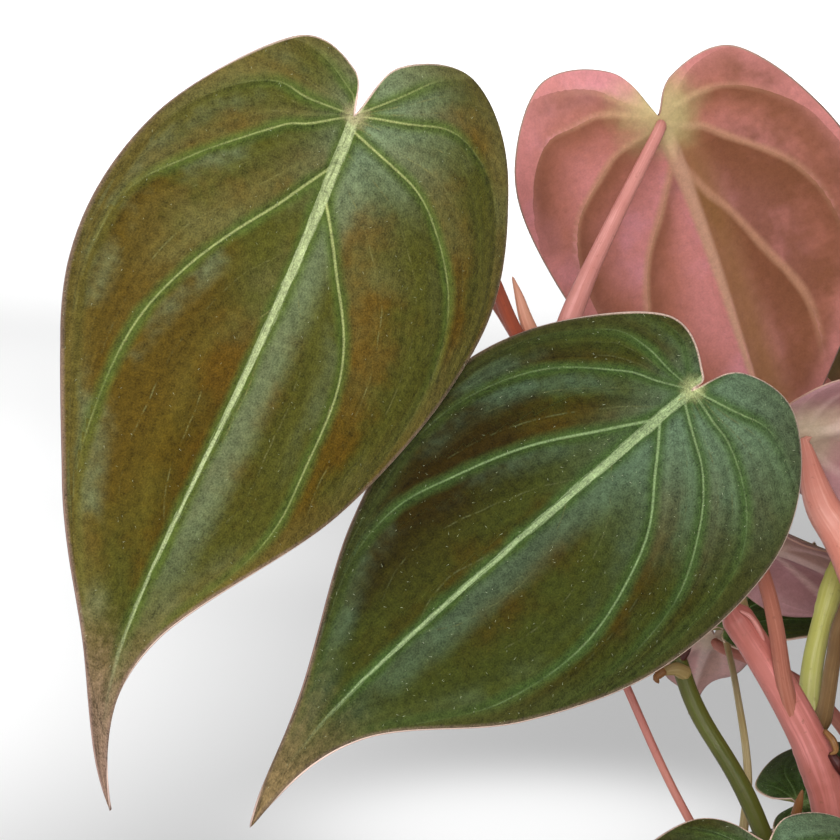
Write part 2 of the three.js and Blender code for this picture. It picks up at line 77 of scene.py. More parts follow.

# %% [markdown]
# ## Small helpers
# Every tree of nodes below, for materials and for geometry, is built by one function that adds a node
# with its settings and links. Colours are written as sRGB hex values, as a colour picker gives them,
# but Blender computes with linear light, so one function turns them. The others make a mesh and an
# object, and hide the CAD part that a finished piece stands for.

# %% Helpers for colours, nodes and meshes
def paint(hex_colour):
    """A linear RGBA colour from an sRGB hex value."""
    parts = [int(hex_colour[i:i + 2], 16) / 255 for i in (1, 3, 5)]
    return [c / 12.92 if c <= 0.04045 else ((c + 0.055) / 1.055) ** 2.4 for c in parts] + [1]


def add(tree, kind, inputs=None, stops=None, **settings):
    """Adds a node. Settings are its properties and inputs its sockets, each a value, a socket or a node."""
    node = tree.nodes.new(kind)
    for name, value in settings.items():
        setattr(node, name, value)
    for key, value in (inputs or {}).items():
        socket = node.inputs[key]
        if isinstance(key, str):
            socket = next(s for s in node.inputs if s.name == key and s.enabled)
        if isinstance(value, bpy.types.Node):
            value = next(s for s in value.outputs if s.enabled)
        if isinstance(value, bpy.types.NodeSocket):
            tree.links.new(value, socket)
        else:
            socket.default_value = value
    if stops:
        ramp = node.color_ramp
        while len(ramp.elements) < len(stops):
            ramp.elements.new(0.5)
        for element, (position, hex_colour) in zip(ramp.elements, stops):
            element.position = position
            element.color = paint(hex_colour)
    return node


def make_mesh(name, points, edges, faces):
    """A smooth mesh from points in millimetres."""
    mesh = bpy.data.meshes.new(name)
    mesh.from_pydata((np.asarray(points) * MM).tolist(), edges, faces)
    mesh.polygons.foreach_set("use_smooth", [True] * len(faces))
    return mesh


def make_object(name, mesh):
    made = bpy.data.objects.new(name, mesh)
    bpy.context.scene.collection.objects.link(made)
    return made


def count_triangles(mesh):
    return sum(len(p.vertices) - 2 for p in mesh.polygons)


pieces = []


def keep_piece(piece, node):
    """Rides the piece on the plant's one body and hides the CAD node that it stands for."""
    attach(piece, "root")
    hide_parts(node)
    pieces.append(piece)


print("Mid green in linear light:", [round(c, 3) for c in paint("#5a6f3f")])

# %% [markdown]
# ## The shapes that the leaves share
# A leaf's outline is two half hearts. Each is given at eight places along the midrib, as in the CAD
# source, and a smooth curve runs through them. The numbers are parts of the leaf's own length and half
# width, so four half-heart pairs serve all 26 leaves.

# %% Half hearts
PLACES = [0, 0.055, 0.13, 0.24, 0.38, 0.56, 0.76, 1]
# For each half: how far along the midrib and how far out its margin is at those places
HEARTS = {
    "broad": {
        "left": ([0, -0.09, -0.13, -0.02, 0.19, 0.5, 0.78, 1], [0, 0.13, 0.54, 0.91, 1.1, 0.8, 0.14, 0]),
        "right": ([0, -0.06, -0.07, 0.11, 0.34, 0.63, 0.83, 1], [0, 0.09, 0.42, 0.91, 0.99, 0.58, 0.16, 0])},
    "full": {
        "left": ([0, -0.09, -0.11, 0.05, 0.33, 0.58, 0.79, 1], [0, 0.11, 0.47, 0.94, 1, 0.73, 0.21, 0]),
        "right": ([0, -0.03, -0.05, 0.13, 0.34, 0.58, 0.81, 1], [0, 0.03, 0.39, 0.82, 0.91, 0.65, 0.19, 0])},
    "round": {
        "left": ([0, -0.13, -0.18, -0.03, 0.25, 0.62, 0.89, 1], [0, 0.13, 0.55, 0.9, 0.93, 0.72, 0.32, 0]),
        "right": ([0, -0.07, -0.07, 0.12, 0.34, 0.65, 0.9, 1], [0, 0.17, 0.56, 0.85, 0.97, 0.8, 0.33, 0])},
    "even": {
        "left": ([0, -0.08, -0.1, 0.04, 0.3, 0.57, 0.81, 1], [0, 0.12, 0.48, 0.92, 1, 0.7, 0.19, 0]),
        "right": ([0, -0.07, -0.09, 0.06, 0.3, 0.59, 0.82, 1], [0, 0.1, 0.45, 0.9, 0.98, 0.67, 0.18, 0])},
}
print(len(HEARTS), "outlines, each given at", len(PLACES), "places")

# %% Side veins
# The four side veins of each half, from the lobe to the tip. Each point is a share of the way out to the
# margin and a place along the midrib, both in hundredths, read from the photo's three large leaves.
VEINS = {
    "broad": {"left": ["0 0, 50 5, 70 7, 80 9",
                       "0 0, 43 6, 62 12, 82 19, 92 25, 95 33",
                       "0 2, 34 8, 41 14, 60 24, 76 34, 88 44, 95 52",
                       "0 12, 7 17, 22 28, 42 42, 57 54, 81 64, 90 69"],
              "right": ["0 0, 61 3, 77 8, 93 12",
                        "0 0, 55 4, 63 9, 80 15, 92 20, 95 26, 96.5 33",
                        "0 0, 43 6, 58 17, 74 24, 88 30, 92 38, 94 46",
                        "0 7.5, 11 13, 30 23, 54 36, 75 47, 90 55, 95 63"]},
    "full": {"left": ["0 0, 46 5, 66 10, 80 14",
                      "0 0, 42 7, 60 16, 76 22, 88 28, 93 36",
                      "0 2, 30 7, 37 13, 59 25, 77 33, 88 42",
                      "0 7.5, 8 11, 28 22, 47 31, 67 43, 81 56, 90 66"],
             "right": ["0 0, 74 7, 93 13",
                       "0 0, 68 8, 78 14, 89 18, 94 24, 95 32",
                       "0 0, 49 9, 58 17, 72 24, 82 34, 88 43, 92 52",
                       "0 8, 12 14, 35 29, 53 41, 75 51, 89 61, 93 70"]},
    "round": {"left": ["0 0, 54 7, 76 9, 92 13",
                       "0 0, 44 7, 69 15, 85 19, 92 27",
                       "0 2, 30 12, 52 24, 72 32, 84 40, 90 50",
                       "0 12, 10 22, 23 32, 47 44, 66 54, 80 66"],
              "right": ["0 0, 70 4, 85 7, 93 10",
                        "0 0, 51 5, 59 11, 79 18, 92 25, 95 33",
                        "0 2, 29 9, 39 19, 64 32, 83 45, 92 56",
                        "0 15, 4 23, 15 31, 34 47, 65 60, 91 69"]},
}
EVEN_VEINS = ["0 0, 55 5, 80 9, 93 12",
              "0 0, 50 6, 62 12, 82 19, 93 26, 95 34",
              "0 1, 36 8, 45 15, 66 26, 82 36, 92 47",
              "0 10, 10 17, 30 30, 50 42, 72 53, 88 63, 93 70"]
VEINS["even"] = {"left": EVEN_VEINS, "right": EVEN_VEINS}
print(len(EVEN_VEINS), "side veins in each half")

# %% [markdown]
# ## The vines and the leaves
# The same points in millimetres as in the CAD source: where each vine runs, and for each leaf its vine
# and node, the notch where its blade starts, the way its midrib points and how it bends. The finish
# says which velvet it wears, and the cell is the mesh spacing, finest on the leaves nearest the eye.

# %% Vines
VINES = {
    "vine_main": dict(
        points=[[-17, -8, 80], [-19.5, -9, 103], [-22.5, -10, 126], [-26.2, -10.5, 146.3],
                [-38.3, -12, 168.3], [-51.9, -12.5, 186.5], [-65.4, -13, 202.5], [-69.5, -11.5, 216]],
        radii=[2.7, 2.7, 2.7, 2.6, 2.1, 1.7, 1.5, 0.4], slot="pink_vine", swelling=0.08, sheath_end=168.6),
    "vine_olive": dict(
        points=[[-12, -22, 80], [-20, -21, 103], [-28.5, -20, 123],
                [-36.5, -18.5, 143], [-43.5, -16.5, 155], [-46.6, -15.5, 163]],
        radii=[1.5, 1.4, 1.32, 1.25, 1.2, 1.2], slot="olive_vine", swelling=0.03),
    "vine_lime": dict(
        points=[[-3, 2, 80], [-10, 2, 104], [-19, 0.5, 126], [-26.6, 0.3, 149],
                [-23.8, 3.5, 168], [-15, 14.5, 185], [-4, 22, 203]],
        radii=[1.7, 1.7, 1.65, 1.6, 1.4, 1.2, 1.0], slot="lime_vine"),
    "vine_back": dict(
        points=[[-9, 18, 80], [-10, 28, 105], [-12, 38, 131],
                [-13, 44, 157], [-14, 48, 182], [-18, 51, 204]],
        radii=[2.0, 2.0, 1.9, 1.8, 1.6, 1.3], slot="brown_vine"),
    "vine_right": dict(
        points=[[18, -10, 80], [24, -14, 105], [37, -20, 130],
                [53, -25, 153], [68, -28, 174], [80, -28, 194]],
        radii=[2.1, 2.1, 2.0, 1.8, 1.6, 1.3], slot="pink_vine"),
    "vine_rear": dict(
        points=[[14, 14, 80], [20, 18, 105], [32, 26, 131],
                [45, 33, 156], [57, 38, 180], [65, 42, 200]],
        radii=[2.0, 2.0, 1.9, 1.7, 1.5, 1.2], slot="brown_vine"),
}
print(len(VINES), "vines")

# %% Leaves
USUAL = dict(heart="even", bend=(0.25, 0.3), fold=0.14, curl=0.42, lobe=0.3, sweep=0, hook=0, wave=1, by=[],
             stalk=None, sink=0, cell=1.25, finish="green", below="rose", stem="pink")
# The turns are the midrib's compass angle, its dip and the blade's roll about it. After the half width
# comes what isn't usual about a leaf.
COLUMNS = "name", "vine", "node", "at", "turns", "long", "wide"
LEAVES = [
    ("leaf_left", "vine_main", 6, [-91.6, -32.4, 243.7], (-129, 57, -53.5), 99, 27.5, dict(
        heart="broad", by=[[-69.7, -15, 210.1], [-77, -22, 226]], bend=(0.25, 0.25), sweep=-0.06, hook=-0.13,
        wave=0.5, cell=0.7, finish="bronze", stem="red")),
    ("leaf_centre", "vine_main", 3, [-45, -28.4, 204.6], (-149.5, 32.5, -58), 84, 26, dict(
        heart="full", by=[[-29.4, -12, 152.5], [-31.2, -13.4, 158.5], [-34.8, -19, 176]], bend=(0.3, 0.35),
        hook=-0.06, wave=0.5, cell=0.7, stem="brown", stalk=[1.15, 1.2, 1.25, 1.1], sink=3.2)),
    ("leaf_pink", "vine_main", 6, [-49, 21, 235.1], (50, 56.5, -51), 61, 25, dict(
        heart="round", by=[[-61.7, -3, 209.4], [-57.3, 6, 217.6]], bend=(0.15, 0.2), fold=0.12, curl=0.26,
        lobe=-0.2, sweep=0.09, hook=0.03, wave=0.4, cell=0.7, finish="dusky", below="pink", stem="rosy",
        stalk=[1.4, 1.6, 1.2])),
    ("leaf_mauve", "vine_lime", 1, [-29.1, 1, 192.3], (8, -8, -64), 38, 11, dict(
        by=[[-4, -7, 124], [-12, -8, 149], [-21.5, -7, 175.1], [-26, -5.5, 183.3]],
        stalk=[1.6, 2.2, 2.8, 2.8, 2.4], curl=0.5, cell=0.8, finish="dusky", below="mauve", stem="salmon")),
    ("leaf_dusky", "vine_main", 4, [-37.1, 16.0, 175.0], (12, 24, -34), 42, 11, dict(
        cell=0.8, finish="dusky", below="mauve", stem="tan")),
    ("leaf_shaded", "vine_back", 1, [-38.3, 28.0, 157.7], (60, -20, 4), 32, 12, dict(
        by=[[-27, 10, 110], [-36, -2, 126], [-35.7, -1, 142], [-37, 10, 152]],
        stalk=[1.15, 1.0, 0.8, 0.62, 0.5], cell=0.9, finish="dark", stem="tan")),
    ("leaf_rosy", "vine_back", 2, [-39.3, 37.0, 155.0], (100, 35, 0), 24, 7, dict(
        by=[[-25, 37, 145]], wave=0.3, cell=0.8, finish="dusky", below="lilac")),
    ("leaf_low_dark", "vine_back", 2, [-27.5, 15.0, 134.3], (7, -6, 25), 48, 16, dict(
        by=[[-20, 24, 126]], cell=0.9, finish="dark", stem="tan")),
    ("leaf_front_low", "vine_olive", 1, [-34.9, -36, 140.5], (-98, 38, -14), 76, 27, dict(
        heart="full", by=[[-28, -31, 122]], cell=0.9)),
    ("leaf_behind_centre", "vine_olive", 1, [-66.1, -6, 189.2], (100, 25, 0), 60, 20, dict(
        by=[[-33.7, -16, 121], [-45.4, -14, 140.2], [-54.1, -11, 158.7]], stalk=[0.9, 0.65, 0.62, 0.6])),
    ("leaf_behind_left", "vine_main", 6, [-84, 5, 222], (150, 40, 0), 66, 21, dict(
        heart="broad", finish="bronze")),
    ("leaf_right_top", "vine_right", 5, [102, -36, 218], (-18, 56, 10), 80, 26, dict(heart="full")),
    ("leaf_right_front", "vine_right", 4, [60, -42, 216], (-105, 55, 8), 78, 25, dict(
        heart="broad", cell=1.0, finish="bronze")),
    ("leaf_right_low", "vine_right", 3, [80, -48, 174], (-45, 48, -8), 68, 22, {}),
    ("leaf_front_right", "vine_right", 1, [32, -48, 140], (-78, 36, 5), 64, 21, dict(finish="bronze")),
    ("leaf_front_mid", "vine_right", 2, [8, -42, 170], (-98, 44, -6), 72, 23, dict(heart="full")),
    ("leaf_rear_top", "vine_rear", 5, [80, 46, 224], (30, 52, -4), 74, 24, dict(
        heart="full", finish="bronze", stem="tan")),
    ("leaf_rear_right", "vine_rear", 3, [76, 20, 184], (-5, 50, 6), 68, 22, dict(stem="tan")),
    ("leaf_rear_back", "vine_rear", 4, [44, 56, 212], (95, 58, 6), 68, 22, dict(heart="broad", stem="tan")),
    ("leaf_top", "vine_lime", 6, [6, 24, 234], (20, 45, 0), 62, 21, dict(finish="bronze")),
    ("leaf_upper", "vine_lime", 3, [10, -10, 226], (-60, 55, 0), 62, 21, dict(
        by=[[-24.8, -2.0, 151.5], [-23.7, -3.6, 160], [-22.4, -5.6, 167], [-15, -8.5, 184], [-3, -12, 206]],
        stalk=[1.2, 1.2, 1.15, 1.1, 1.0, 0.9], sink=1.0, stem="umber")),
    ("leaf_back_top", "vine_back", 5, [-30, 58, 226], (80, 58, 0), 66, 21, dict(heart="broad")),
    ("leaf_back_left", "vine_back", 4, [-44, 58, 200], (140, 47, 0), 64, 21, dict(finish="bronze")),
    ("leaf_back_mid", "vine_back", 3, [3, 60, 176], (72, 50, 0), 62, 21, {}),
    ("leaf_back_right", "vine_rear", 1, [34, 48, 138], (60, 46, 0), 60, 20, dict(stem="tan")),
    ("leaf_back_low", "vine_back", 1, [-30, 46, 121], (125, 36, 0), 56, 19, {}),
]
LEAVES = [{**USUAL, **dict(zip(COLUMNS, row)), **row[-1], "phase": (i * 0.618) % 1, "seed": i}
          for i, row in enumerate(LEAVES)]
print(len(LEAVES), "leaves")

# %% [markdown]
# ## From a flat heart to a bent blade
# A leaf is made flat first: x along the midrib, y out to the side. Each point knows its share of the
# way out to the margin, so a side vein is simply a line of flat points. Then one rule bends the
# whole blade: the midrib droops, both halves arch, the margin ripples, and the veins lie in valleys.

# %% Smooth rows and the flat blade
def smooth_rows(rows, t):
    """Catmull-Rom through rows of numbers, with the ends run on straight."""
    rows = np.asarray(rows, float)
    padded = np.vstack([2 * rows[0] - rows[1], rows, 2 * rows[-1] - rows[-2]])
    x = np.clip(t, 0, 1) * (len(rows) - 1)
    i = np.minimum(x.astype(int), len(rows) - 2)
    f = (x - i)[..., None]
    a, b, c, d = (padded[i + k] for k in range(4))
    return 0.5 * (2 * b + (c - a) * f + (2 * a - 5 * b + 4 * c - d) * f ** 2
                  + (3 * b - a - 3 * c + d) * f ** 3)


def flat_blade(leaf, run, v):
    """For run from notch to tip and v from -1 at the right margin to 1: u, along, y and share."""
    run, v = np.broadcast_arrays(np.asarray(run, float), np.asarray(v, float))
    halves = [smooth_rows(np.column_stack([PLACES, *HEARTS[leaf["heart"]][side]]), run)
              for side in ("left", "right")]
    row = np.where((v < 0)[..., None], halves[1], halves[0])
    u, along, out = row[..., 0], row[..., 1], row[..., 2]
    share = np.abs(v)
    return u, u + (along - u) * share, np.sign(v) * out * leaf["wide"] * share, share


def vein_line(vein):
    """A smooth vein as rows of share and place, run on straight to the margin."""
    rows = np.array([point.split() for point in vein.split(", ")], float) / 100
    step = rows[-1] - rows[-2]
    rows = np.vstack([rows, rows[-1] + step * (0.985 - rows[-1, 0]) / step[0]])
    return smooth_rows(rows, np.linspace(0, 1, 60))


half_width = float(flat_blade(LEAVES[8], 0.5, 1.0)[2])
print("Half width of the low front leaf at its middle:", round(half_width, 1), "mm")

# %% The rule that bends a blade
# Three and a fifth ripples run along each margin, and the halves aren't in step
RIPPLES, OUT_OF_STEP = 3.2, 0.37


def bend_blade(leaf, run, v, valley=0.0):
    """Points of the blade's middle surface in the leaf's own axes, in millimetres."""
    u, t, y, share = flat_blade(leaf, run, v)
    behind, ahead = np.minimum(t, 0), np.maximum(t, 0)
    low, high = leaf["bend"]
    slope = low * ahead + high * ahead ** 3
    drop = low * ahead ** 2 / 2 + high * ahead ** 4 / 4 + leaf["lobe"] * 8 * behind ** 2
    across = np.abs(y) / leaf["wide"]
    phase = leaf["phase"] + np.where(np.asarray(v) < 0, OUT_OF_STEP, 0)
    ripple = leaf["wave"] * share ** 3 * np.sin(2 * np.pi * (RIPPLES * u + phase))
    height = leaf["wide"] * (leaf["fold"] * across - leaf["curl"] * across ** 2) + ripple - valley
    lean = 1 / np.hypot(1, slope)
    side = leaf["sweep"] * ahead ** 2 - leaf["hook"] * ahead ** 8
    return np.stack([t * leaf["long"] + slope * lean * height, y + side * leaf["long"],
                     -drop * leaf["long"] + lean * height], -1)


def into_plant(leaf, points):
    """Turns points from the leaf's own axes, midrib, left and up, into the plant's."""
    az, dip, roll = map(math.radians, leaf["turns"])
    level = Vector((math.cos(az), math.sin(az), 0))
    plumb = Vector((0, 0, 1))
    forward = level * math.cos(dip) - plumb * math.sin(dip)
    up = Matrix.Rotation(roll, 3, forward) @ (level * math.sin(dip) + plumb * math.cos(dip))
    axes = np.array([forward, up.cross(forward), up]).T
    return np.asarray(points) @ axes.T + np.array(leaf["at"], float)


print("Tip of the left leaf in mm:", into_plant(LEAVES[0], bend_blade(LEAVES[0], 1.0, 0.0)).round(1))

# %% [markdown]
# ## How far each point is from each vein
# The materials paint veins of a real width, so every point of a blade carries its distance in
# millimetres to the midrib, to each side vein and to the margin. The distance to a vein has a sign, so
# it passes evenly through zero on the vein, and the line stays sharp even between mesh points. Near the
# notch each vein is drawn straight, because a side vein leaves it like a spoke and turns later.

# %% Distances on the flat leaf
def distance_to_line(points, line):
    """Least distance of each flat point to a line, below zero for points on the line's left."""
    a, b = line[:-1], line[1:]
    d = b - a
    length2 = np.maximum((d ** 2).sum(-1), 1e-9)
    away = points[:, None] - a
    s = np.clip((away * d).sum(-1) / length2, 0, 1)
    square = ((away - s[..., None] * d) ** 2).sum(-1)
    nearest = np.arange(len(points)), square.argmin(1)
    turn = (d[:, 0] * away[..., 1] - d[:, 1] * away[..., 0])[nearest]
    return np.sqrt(square[nearest]) * np.where(turn > 0, -1, 1)


def straight_start(line, reach):
    """Draws the first millimetres of a line straight, easing into its own course."""
    away = np.linalg.norm(line - line[0], axis=1)
    k = max(int(np.argmax(away > reach)), 1)
    share = np.minimum(np.arange(len(line)) / k, 1)[:, None]
    straight = line[0] + (line[k] - line[0]) * share
    return np.where(np.arange(len(line))[:, None] < k, straight + (line - straight) * share ** 3, line)


# %% What every point of a blade carries
STRAIGHT_PART = 0.16         # of the leaf's length
LOBE_PANEL, TIP_PANEL = 14.0, 18.0   # mm from the outermost veins to where their panels end
PATTERN_SHIFT = 137.0        # mm between two leaves' patterns, so that no two have the same patches


def vein_fields(leaf, run, v):
    """Signed distances to the veins, the margin's distance and where a point lies between two veins."""
    u, t, y, share = (a.ravel() for a in flat_blade(leaf, run, v))
    flat = np.column_stack([t * leaf["long"], y])
    side = np.where(np.broadcast_to(v, np.broadcast(run, v).shape).ravel() < 0, -1, 1)
    table = np.linspace(0, 1, 400)
    distances = np.zeros((len(u), 4))
    edge = np.zeros(len(u))
    for sign, half in ((-1, "right"), (1, "left")):
        mine = side == sign
        table_u = flat_blade(leaf, table, sign)[0]
        _, along, out, _ = flat_blade(leaf, table[::4], sign)
        edge[mine] = np.abs(distance_to_line(flat[mine], np.column_stack([along * leaf["long"], out])))
        for k, vein in enumerate(VEINS[leaf["heart"]][half]):
            s, place = vein_line(vein).T
            _, along, out, _ = flat_blade(leaf, np.interp(place, table_u, table), sign * s)
            line = straight_start(np.column_stack([along * leaf["long"], out]), STRAIGHT_PART * leaf["long"])
            distances[mine, k] = distance_to_line(flat[mine], line) * sign
    # q is 0 on the lobe's vein, 1, 2 and 3 on the next ones and about 4 towards the tip
    q = np.where(distances[:, 0] < 0, np.maximum(distances[:, 0] / LOBE_PANEL, -1), 0)
    spacing = np.full(len(u), LOBE_PANEL)
    for k in range(3):
        between = (distances[:, k] >= 0) & (distances[:, k + 1] < 0)
        gap = distances[:, k] - distances[:, k + 1]
        q = np.where(between, k + distances[:, k] / np.maximum(gap, 1e-6), q)
        spacing = np.where(between, gap, spacing)
    beyond = distances[:, 3] >= 0
    q = np.where(beyond, 3 + distances[:, 3] / TIP_PANEL, q)
    spacing = np.where(beyond, TIP_PANEL, spacing)
    x, mid = flat.T
    return {
        "veins_near": np.column_stack([mid, distances[:, 3], distances[:, 2]]),
        "veins_far": np.column_stack([distances[:, 1], distances[:, 0], edge]),
        "panel": np.column_stack([q, spacing, share]),
        "place": np.column_stack([x + PATTERN_SHIFT * leaf["seed"], np.full(len(u), leaf["long"]),
                                  np.hypot(x, mid)]),
    }


def closeness(distance, width):
    """1 at no distance, falling off like a bell."""
    return np.exp(-(distance / width) ** 2)


VALLEY_DEEP, VALLEY_WIDE = 0.45, 3.5


def valley_depth(fields):
    """The midrib and the three larger side veins lie in valleys, which meet at the notch."""
    mid, inner, second = fields["veins_near"].T
    outer = fields["veins_far"][:, 0]
    return VALLEY_DEEP * sum(closeness(d, VALLEY_WIDE) for d in (mid, inner, second, outer))


print("A leaf's fields:", sorted(vein_fields(LEAVES[3], np.array([0.5]), np.array([0.5]))))

# %% [markdown]
# ## Blades as thin closed shells
# A real blade is a sheet a few tenths of a millimetre thick with a rounded edge. It could be one sheet
# with a Solidify modifier, but the upper and lower faces differ: veins are sunk above and stand out
# below. So both faces are written as grids of points, and a narrow pale rim joins them.

# %% Grid, faces and normals of a blade
def blade_grid(leaf):
    """Values of run and v: rows spread evenly along the margin, columns even across."""
    table = np.linspace(0, 1, 600)
    lengths = []
    for sign in (-1, 1):
        _, t, y, _ = flat_blade(leaf, table, sign)
        steps = np.hypot(np.diff(t * leaf["long"]), np.diff(y))
        lengths.append(np.concatenate([[0], np.cumsum(steps)]))
    length = sum(lengths) / 2
    rows = int(length[-1] / leaf["cell"])
    run = np.interp(np.linspace(0, length[-1], rows + 1)[1:-1], length, table)
    half = max(int(leaf["wide"] / leaf["cell"]), 8)
    return run, np.linspace(-1, 1, 2 * half + 1)


def blade_faces(rows, columns):
    """Faces of one side: quads between rows, and a fan at the notch and at the tip."""
    notch, tip = rows * columns, rows * columns + 1
    grid = np.arange(rows * columns).reshape(rows, columns)
    quads = np.stack([grid[:-1, :-1], grid[1:, :-1], grid[1:, 1:], grid[:-1, 1:]], -1).reshape(-1, 4)
    first = [(notch, a, b) for a, b in zip(grid[0, :-1], grid[0, 1:])]
    last = [(tip, b, a) for a, b in zip(grid[-1, :-1], grid[-1, 1:])]
    return [tuple(q) for q in quads.tolist()] + [tuple(map(int, f)) for f in first + last]


def normals_at_points(points, faces):
    """Unit normals at points, averaged from the faces round each."""
    triangles = np.array([(f[0], f[1], f[2]) for f in faces]
                         + [(f[0], f[2], f[3]) for f in faces if len(f) == 4])
    a, b, c = (points[triangles[:, k]] for k in range(3))
    normal = np.cross(b - a, c - a)
    total = np.zeros_like(points)
    for k in range(3):
        np.add.at(total, triangles[:, k], normal)
    return total / np.maximum(np.linalg.norm(total, axis=1, keepdims=True), 1e-12)


print("Rows and columns of the mauve leaf's grid:", [len(values) for values in blade_grid(LEAVES[3])])

# %% Upper face, lower face and rim
RIM = 0.2                    # mm that the rim stands out
HALF_THIN, HALF_MORE = 0.13, 0.1     # mm of half thickness at the margin, and more inside it
EDGE_RUN = 3                 # mm from the margin to the full thickness


def face_depths(leaf, fields):
    """How far the upper and the lower face lie from the middle surface at each point."""
    mid, inner, second = np.abs(fields["veins_near"]).T
    outer, lobe, edge = np.abs(fields["veins_far"]).T
    nearest = np.minimum(np.minimum(inner, second), np.minimum(outer, lobe))
    from_notch = fields["place"][:, 2]
    reach = from_notch / leaf["long"]
    share = fields["panel"][:, 2]
    body = np.clip(edge / EDGE_RUN, 0, 1)
    thick = HALF_THIN + HALF_MORE * body
    # The ridge and the groove begin a little way from the notch, where the valleys part
    body = body * np.clip(from_notch / 5 - 0.3, 0, 1)
    sunk = (0.28 * closeness(mid, 0.9) + 0.12 * closeness(nearest, 0.6) * (1 - share)) * body
    raised = (0.95 * (1 - 0.8 * reach) * closeness(mid, 1.1 - 0.5 * reach)
              + 0.28 * (1 - 0.8 * share) * closeness(nearest, 0.55)) * body
    return (thick - sunk)[:, None], (thick + raised)[:, None]


def margin_ring(middle, rows, columns):
    """Numbers of the margin's points in order, and the way out from the blade at each."""
    starts = np.arange(rows) * columns
    ring = np.array([rows * columns, *starts, rows * columns + 1, *(starts + columns - 1)[::-1]])
    inner = np.where(ring < rows * columns, ring - np.where(ring % columns == 0, -1, 1), ring - 1)
    outward = middle[ring] - middle[inner]
    ends = [0, rows + 1]
    outward[ends] = middle[ring[ends]] - middle[ring].mean(0)
    return ring, outward / np.maximum(np.linalg.norm(outward, axis=1, keepdims=True), 1e-9)


def build_blade(leaf):
    """The blade's mesh: material 0 above, 1 below and 2 on the rim."""
    run, v = blade_grid(leaf)
    rows, columns = len(run), len(v)
    run_all = np.concatenate([np.repeat(run, columns), [0, 1]])
    v_all = np.concatenate([np.tile(v, rows), [0, 0]])
    fields = vein_fields(leaf, run_all, v_all)
    middle = bend_blade(leaf, run_all, v_all, valley_depth(fields))
    faces = blade_faces(rows, columns)
    normal = normals_at_points(middle, faces)
    up, down = face_depths(leaf, fields)
    ring, outward = margin_ring(middle, rows, columns)
    points = np.vstack([middle + normal * up, middle - normal * down, middle[ring] + outward * RIM])
    count, n = len(middle), len(ring)
    all_faces = faces + [tuple(i + count for i in reversed(f)) for f in faces]
    for k in range(n):
        a, b = int(ring[k]), int(ring[(k + 1) % n])
        ra, rb = 2 * count + k, 2 * count + (k + 1) % n
        all_faces += [(a, ra, rb, b), (ra, a + count, b + count, rb)]
    mesh = make_mesh(leaf["name"] + "_blade", into_plant(leaf, points), [], all_faces)
    mesh.polygons.foreach_set("material_index", [0] * len(faces) + [1] * len(faces) + [2] * 2 * n)
    for name, values in fields.items():
        carried = mesh.attributes.new(name, "FLOAT_VECTOR", "POINT")
        values = np.vstack([values, values, values[ring]])
        carried.data.foreach_set("vector", values.astype(np.float32).ravel())
    mesh.update()
    return mesh


trial = build_blade(LEAVES[3])
print("The mauve leaf's blade:", count_triangles(trial), "triangles")
bpy.data.meshes.remove(trial)

# %% [markdown]
# ## Painting in layers
# A leaf's colour is built as a painter would: a ground tone, then one thin layer after another, each
# only where some limits say so, such as "beside a vein" or "towards the tip". The layers are written as
# tables. A row is a tone and its limits, and a limit is a measure, where the layer is full, where it is
# gone and its strength. Noise shifts the measures, so that no border runs straight.

# %% Limits, layers and the end of a material
CLOUDY = {"Detail": 4.0, "Roughness": 0.6}


def start_material(name):
    material = bpy.data.materials.new(name)
    material.use_nodes = True
    material.node_tree.nodes.clear()
    return material, material.node_tree


def ragged(tree, value, *shifts):
    """The value, shifted by noises whose middle is a half. Each noise is followed by how far."""
    for noise, much in zip(shifts[::2], shifts[1::2]):
        shift = add(tree, "ShaderNodeMath", {0: noise, 1: 0.5}, operation="SUBTRACT")
        value = add(tree, "ShaderNodeMath", {0: shift, 1: much, 2: value}, operation="MULTIPLY_ADD")
    return value


def mask(tree, *limits):
    """Multiplies limits: each a value, where full, where gone and, if it isn't one, the strength."""
    product = None
    for value, full, gone, *strength in limits:
        limit = add(tree, "ShaderNodeMapRange", {
            "Value": value, "From Min": full, "From Max": gone, "To Min": strength[0] if strength else 1.0,
            "To Max": 0.0}, interpolation_type="SMOOTHSTEP")
        product = limit if product is None else add(tree, "ShaderNodeMath", {0: product, 1: limit},
                                                    operation="MULTIPLY")
    return product


def brush(tree, colour, read, tones, layers):
    """Brushes a table of layers over a colour. Its names stand for sockets in read or values in tones."""
    for tone, *limits in layers:
        looked_up = []
        for measure, *rest in limits:
            name, *shifts = measure if isinstance(measure, tuple) else [measure]
            value = ragged(tree, read[name], *(read.get(part, part) for part in shifts))
            looked_up.append([value, *(tones.get(part, part) for part in rest)])
        colour = add(tree, "ShaderNodeMix", {
            "Factor": mask(tree, *looked_up), "A": colour, "B": paint(tones[tone])}, data_type="RGBA")
    return colour


def drawn_out(tree, **axes):
    """Noise with its own repeats along each axis: a value and how often the noise repeats in one unit."""
    place = {axis: value if repeats == 1 else add(tree, "ShaderNodeMath", {0: value, 1: repeats},
                                                  operation="MULTIPLY")
             for axis, (value, repeats) in axes.items()}
    place = add(tree, "ShaderNodeCombineXYZ", place)
    return add(tree, "ShaderNodeTexNoise", {"Vector": place, "Scale": 1.0, **CLOUDY})


def end_material(tree, colour, rough, relief=None, deep=0.0, strength=0.0, shine=None):
    """One plain shader with the colour, the roughness and a relief that is deep millimetres high."""
    inputs = {"Base Color": colour, "Roughness": rough, **(shine or {})}
    if relief is not None:
        inputs["Normal"] = add(tree, "ShaderNodeBump", {
            "Height": relief, "Distance": deep * MM, "Strength": strength})
    add(tree, "ShaderNodeOutputMaterial", {"Surface": add(tree, "ShaderNodeBsdfPrincipled", inputs)})


print("Layers ready")

# %% [markdown]
# ## What a blade tells its materials
# The distances stored on the blade arrive in the material as attributes. A few more are made of them:
# the distance to the nearest side vein, how far towards the tip a point lies, and the minor veins, fine
# lines that run between the side veins at thirds of the way.

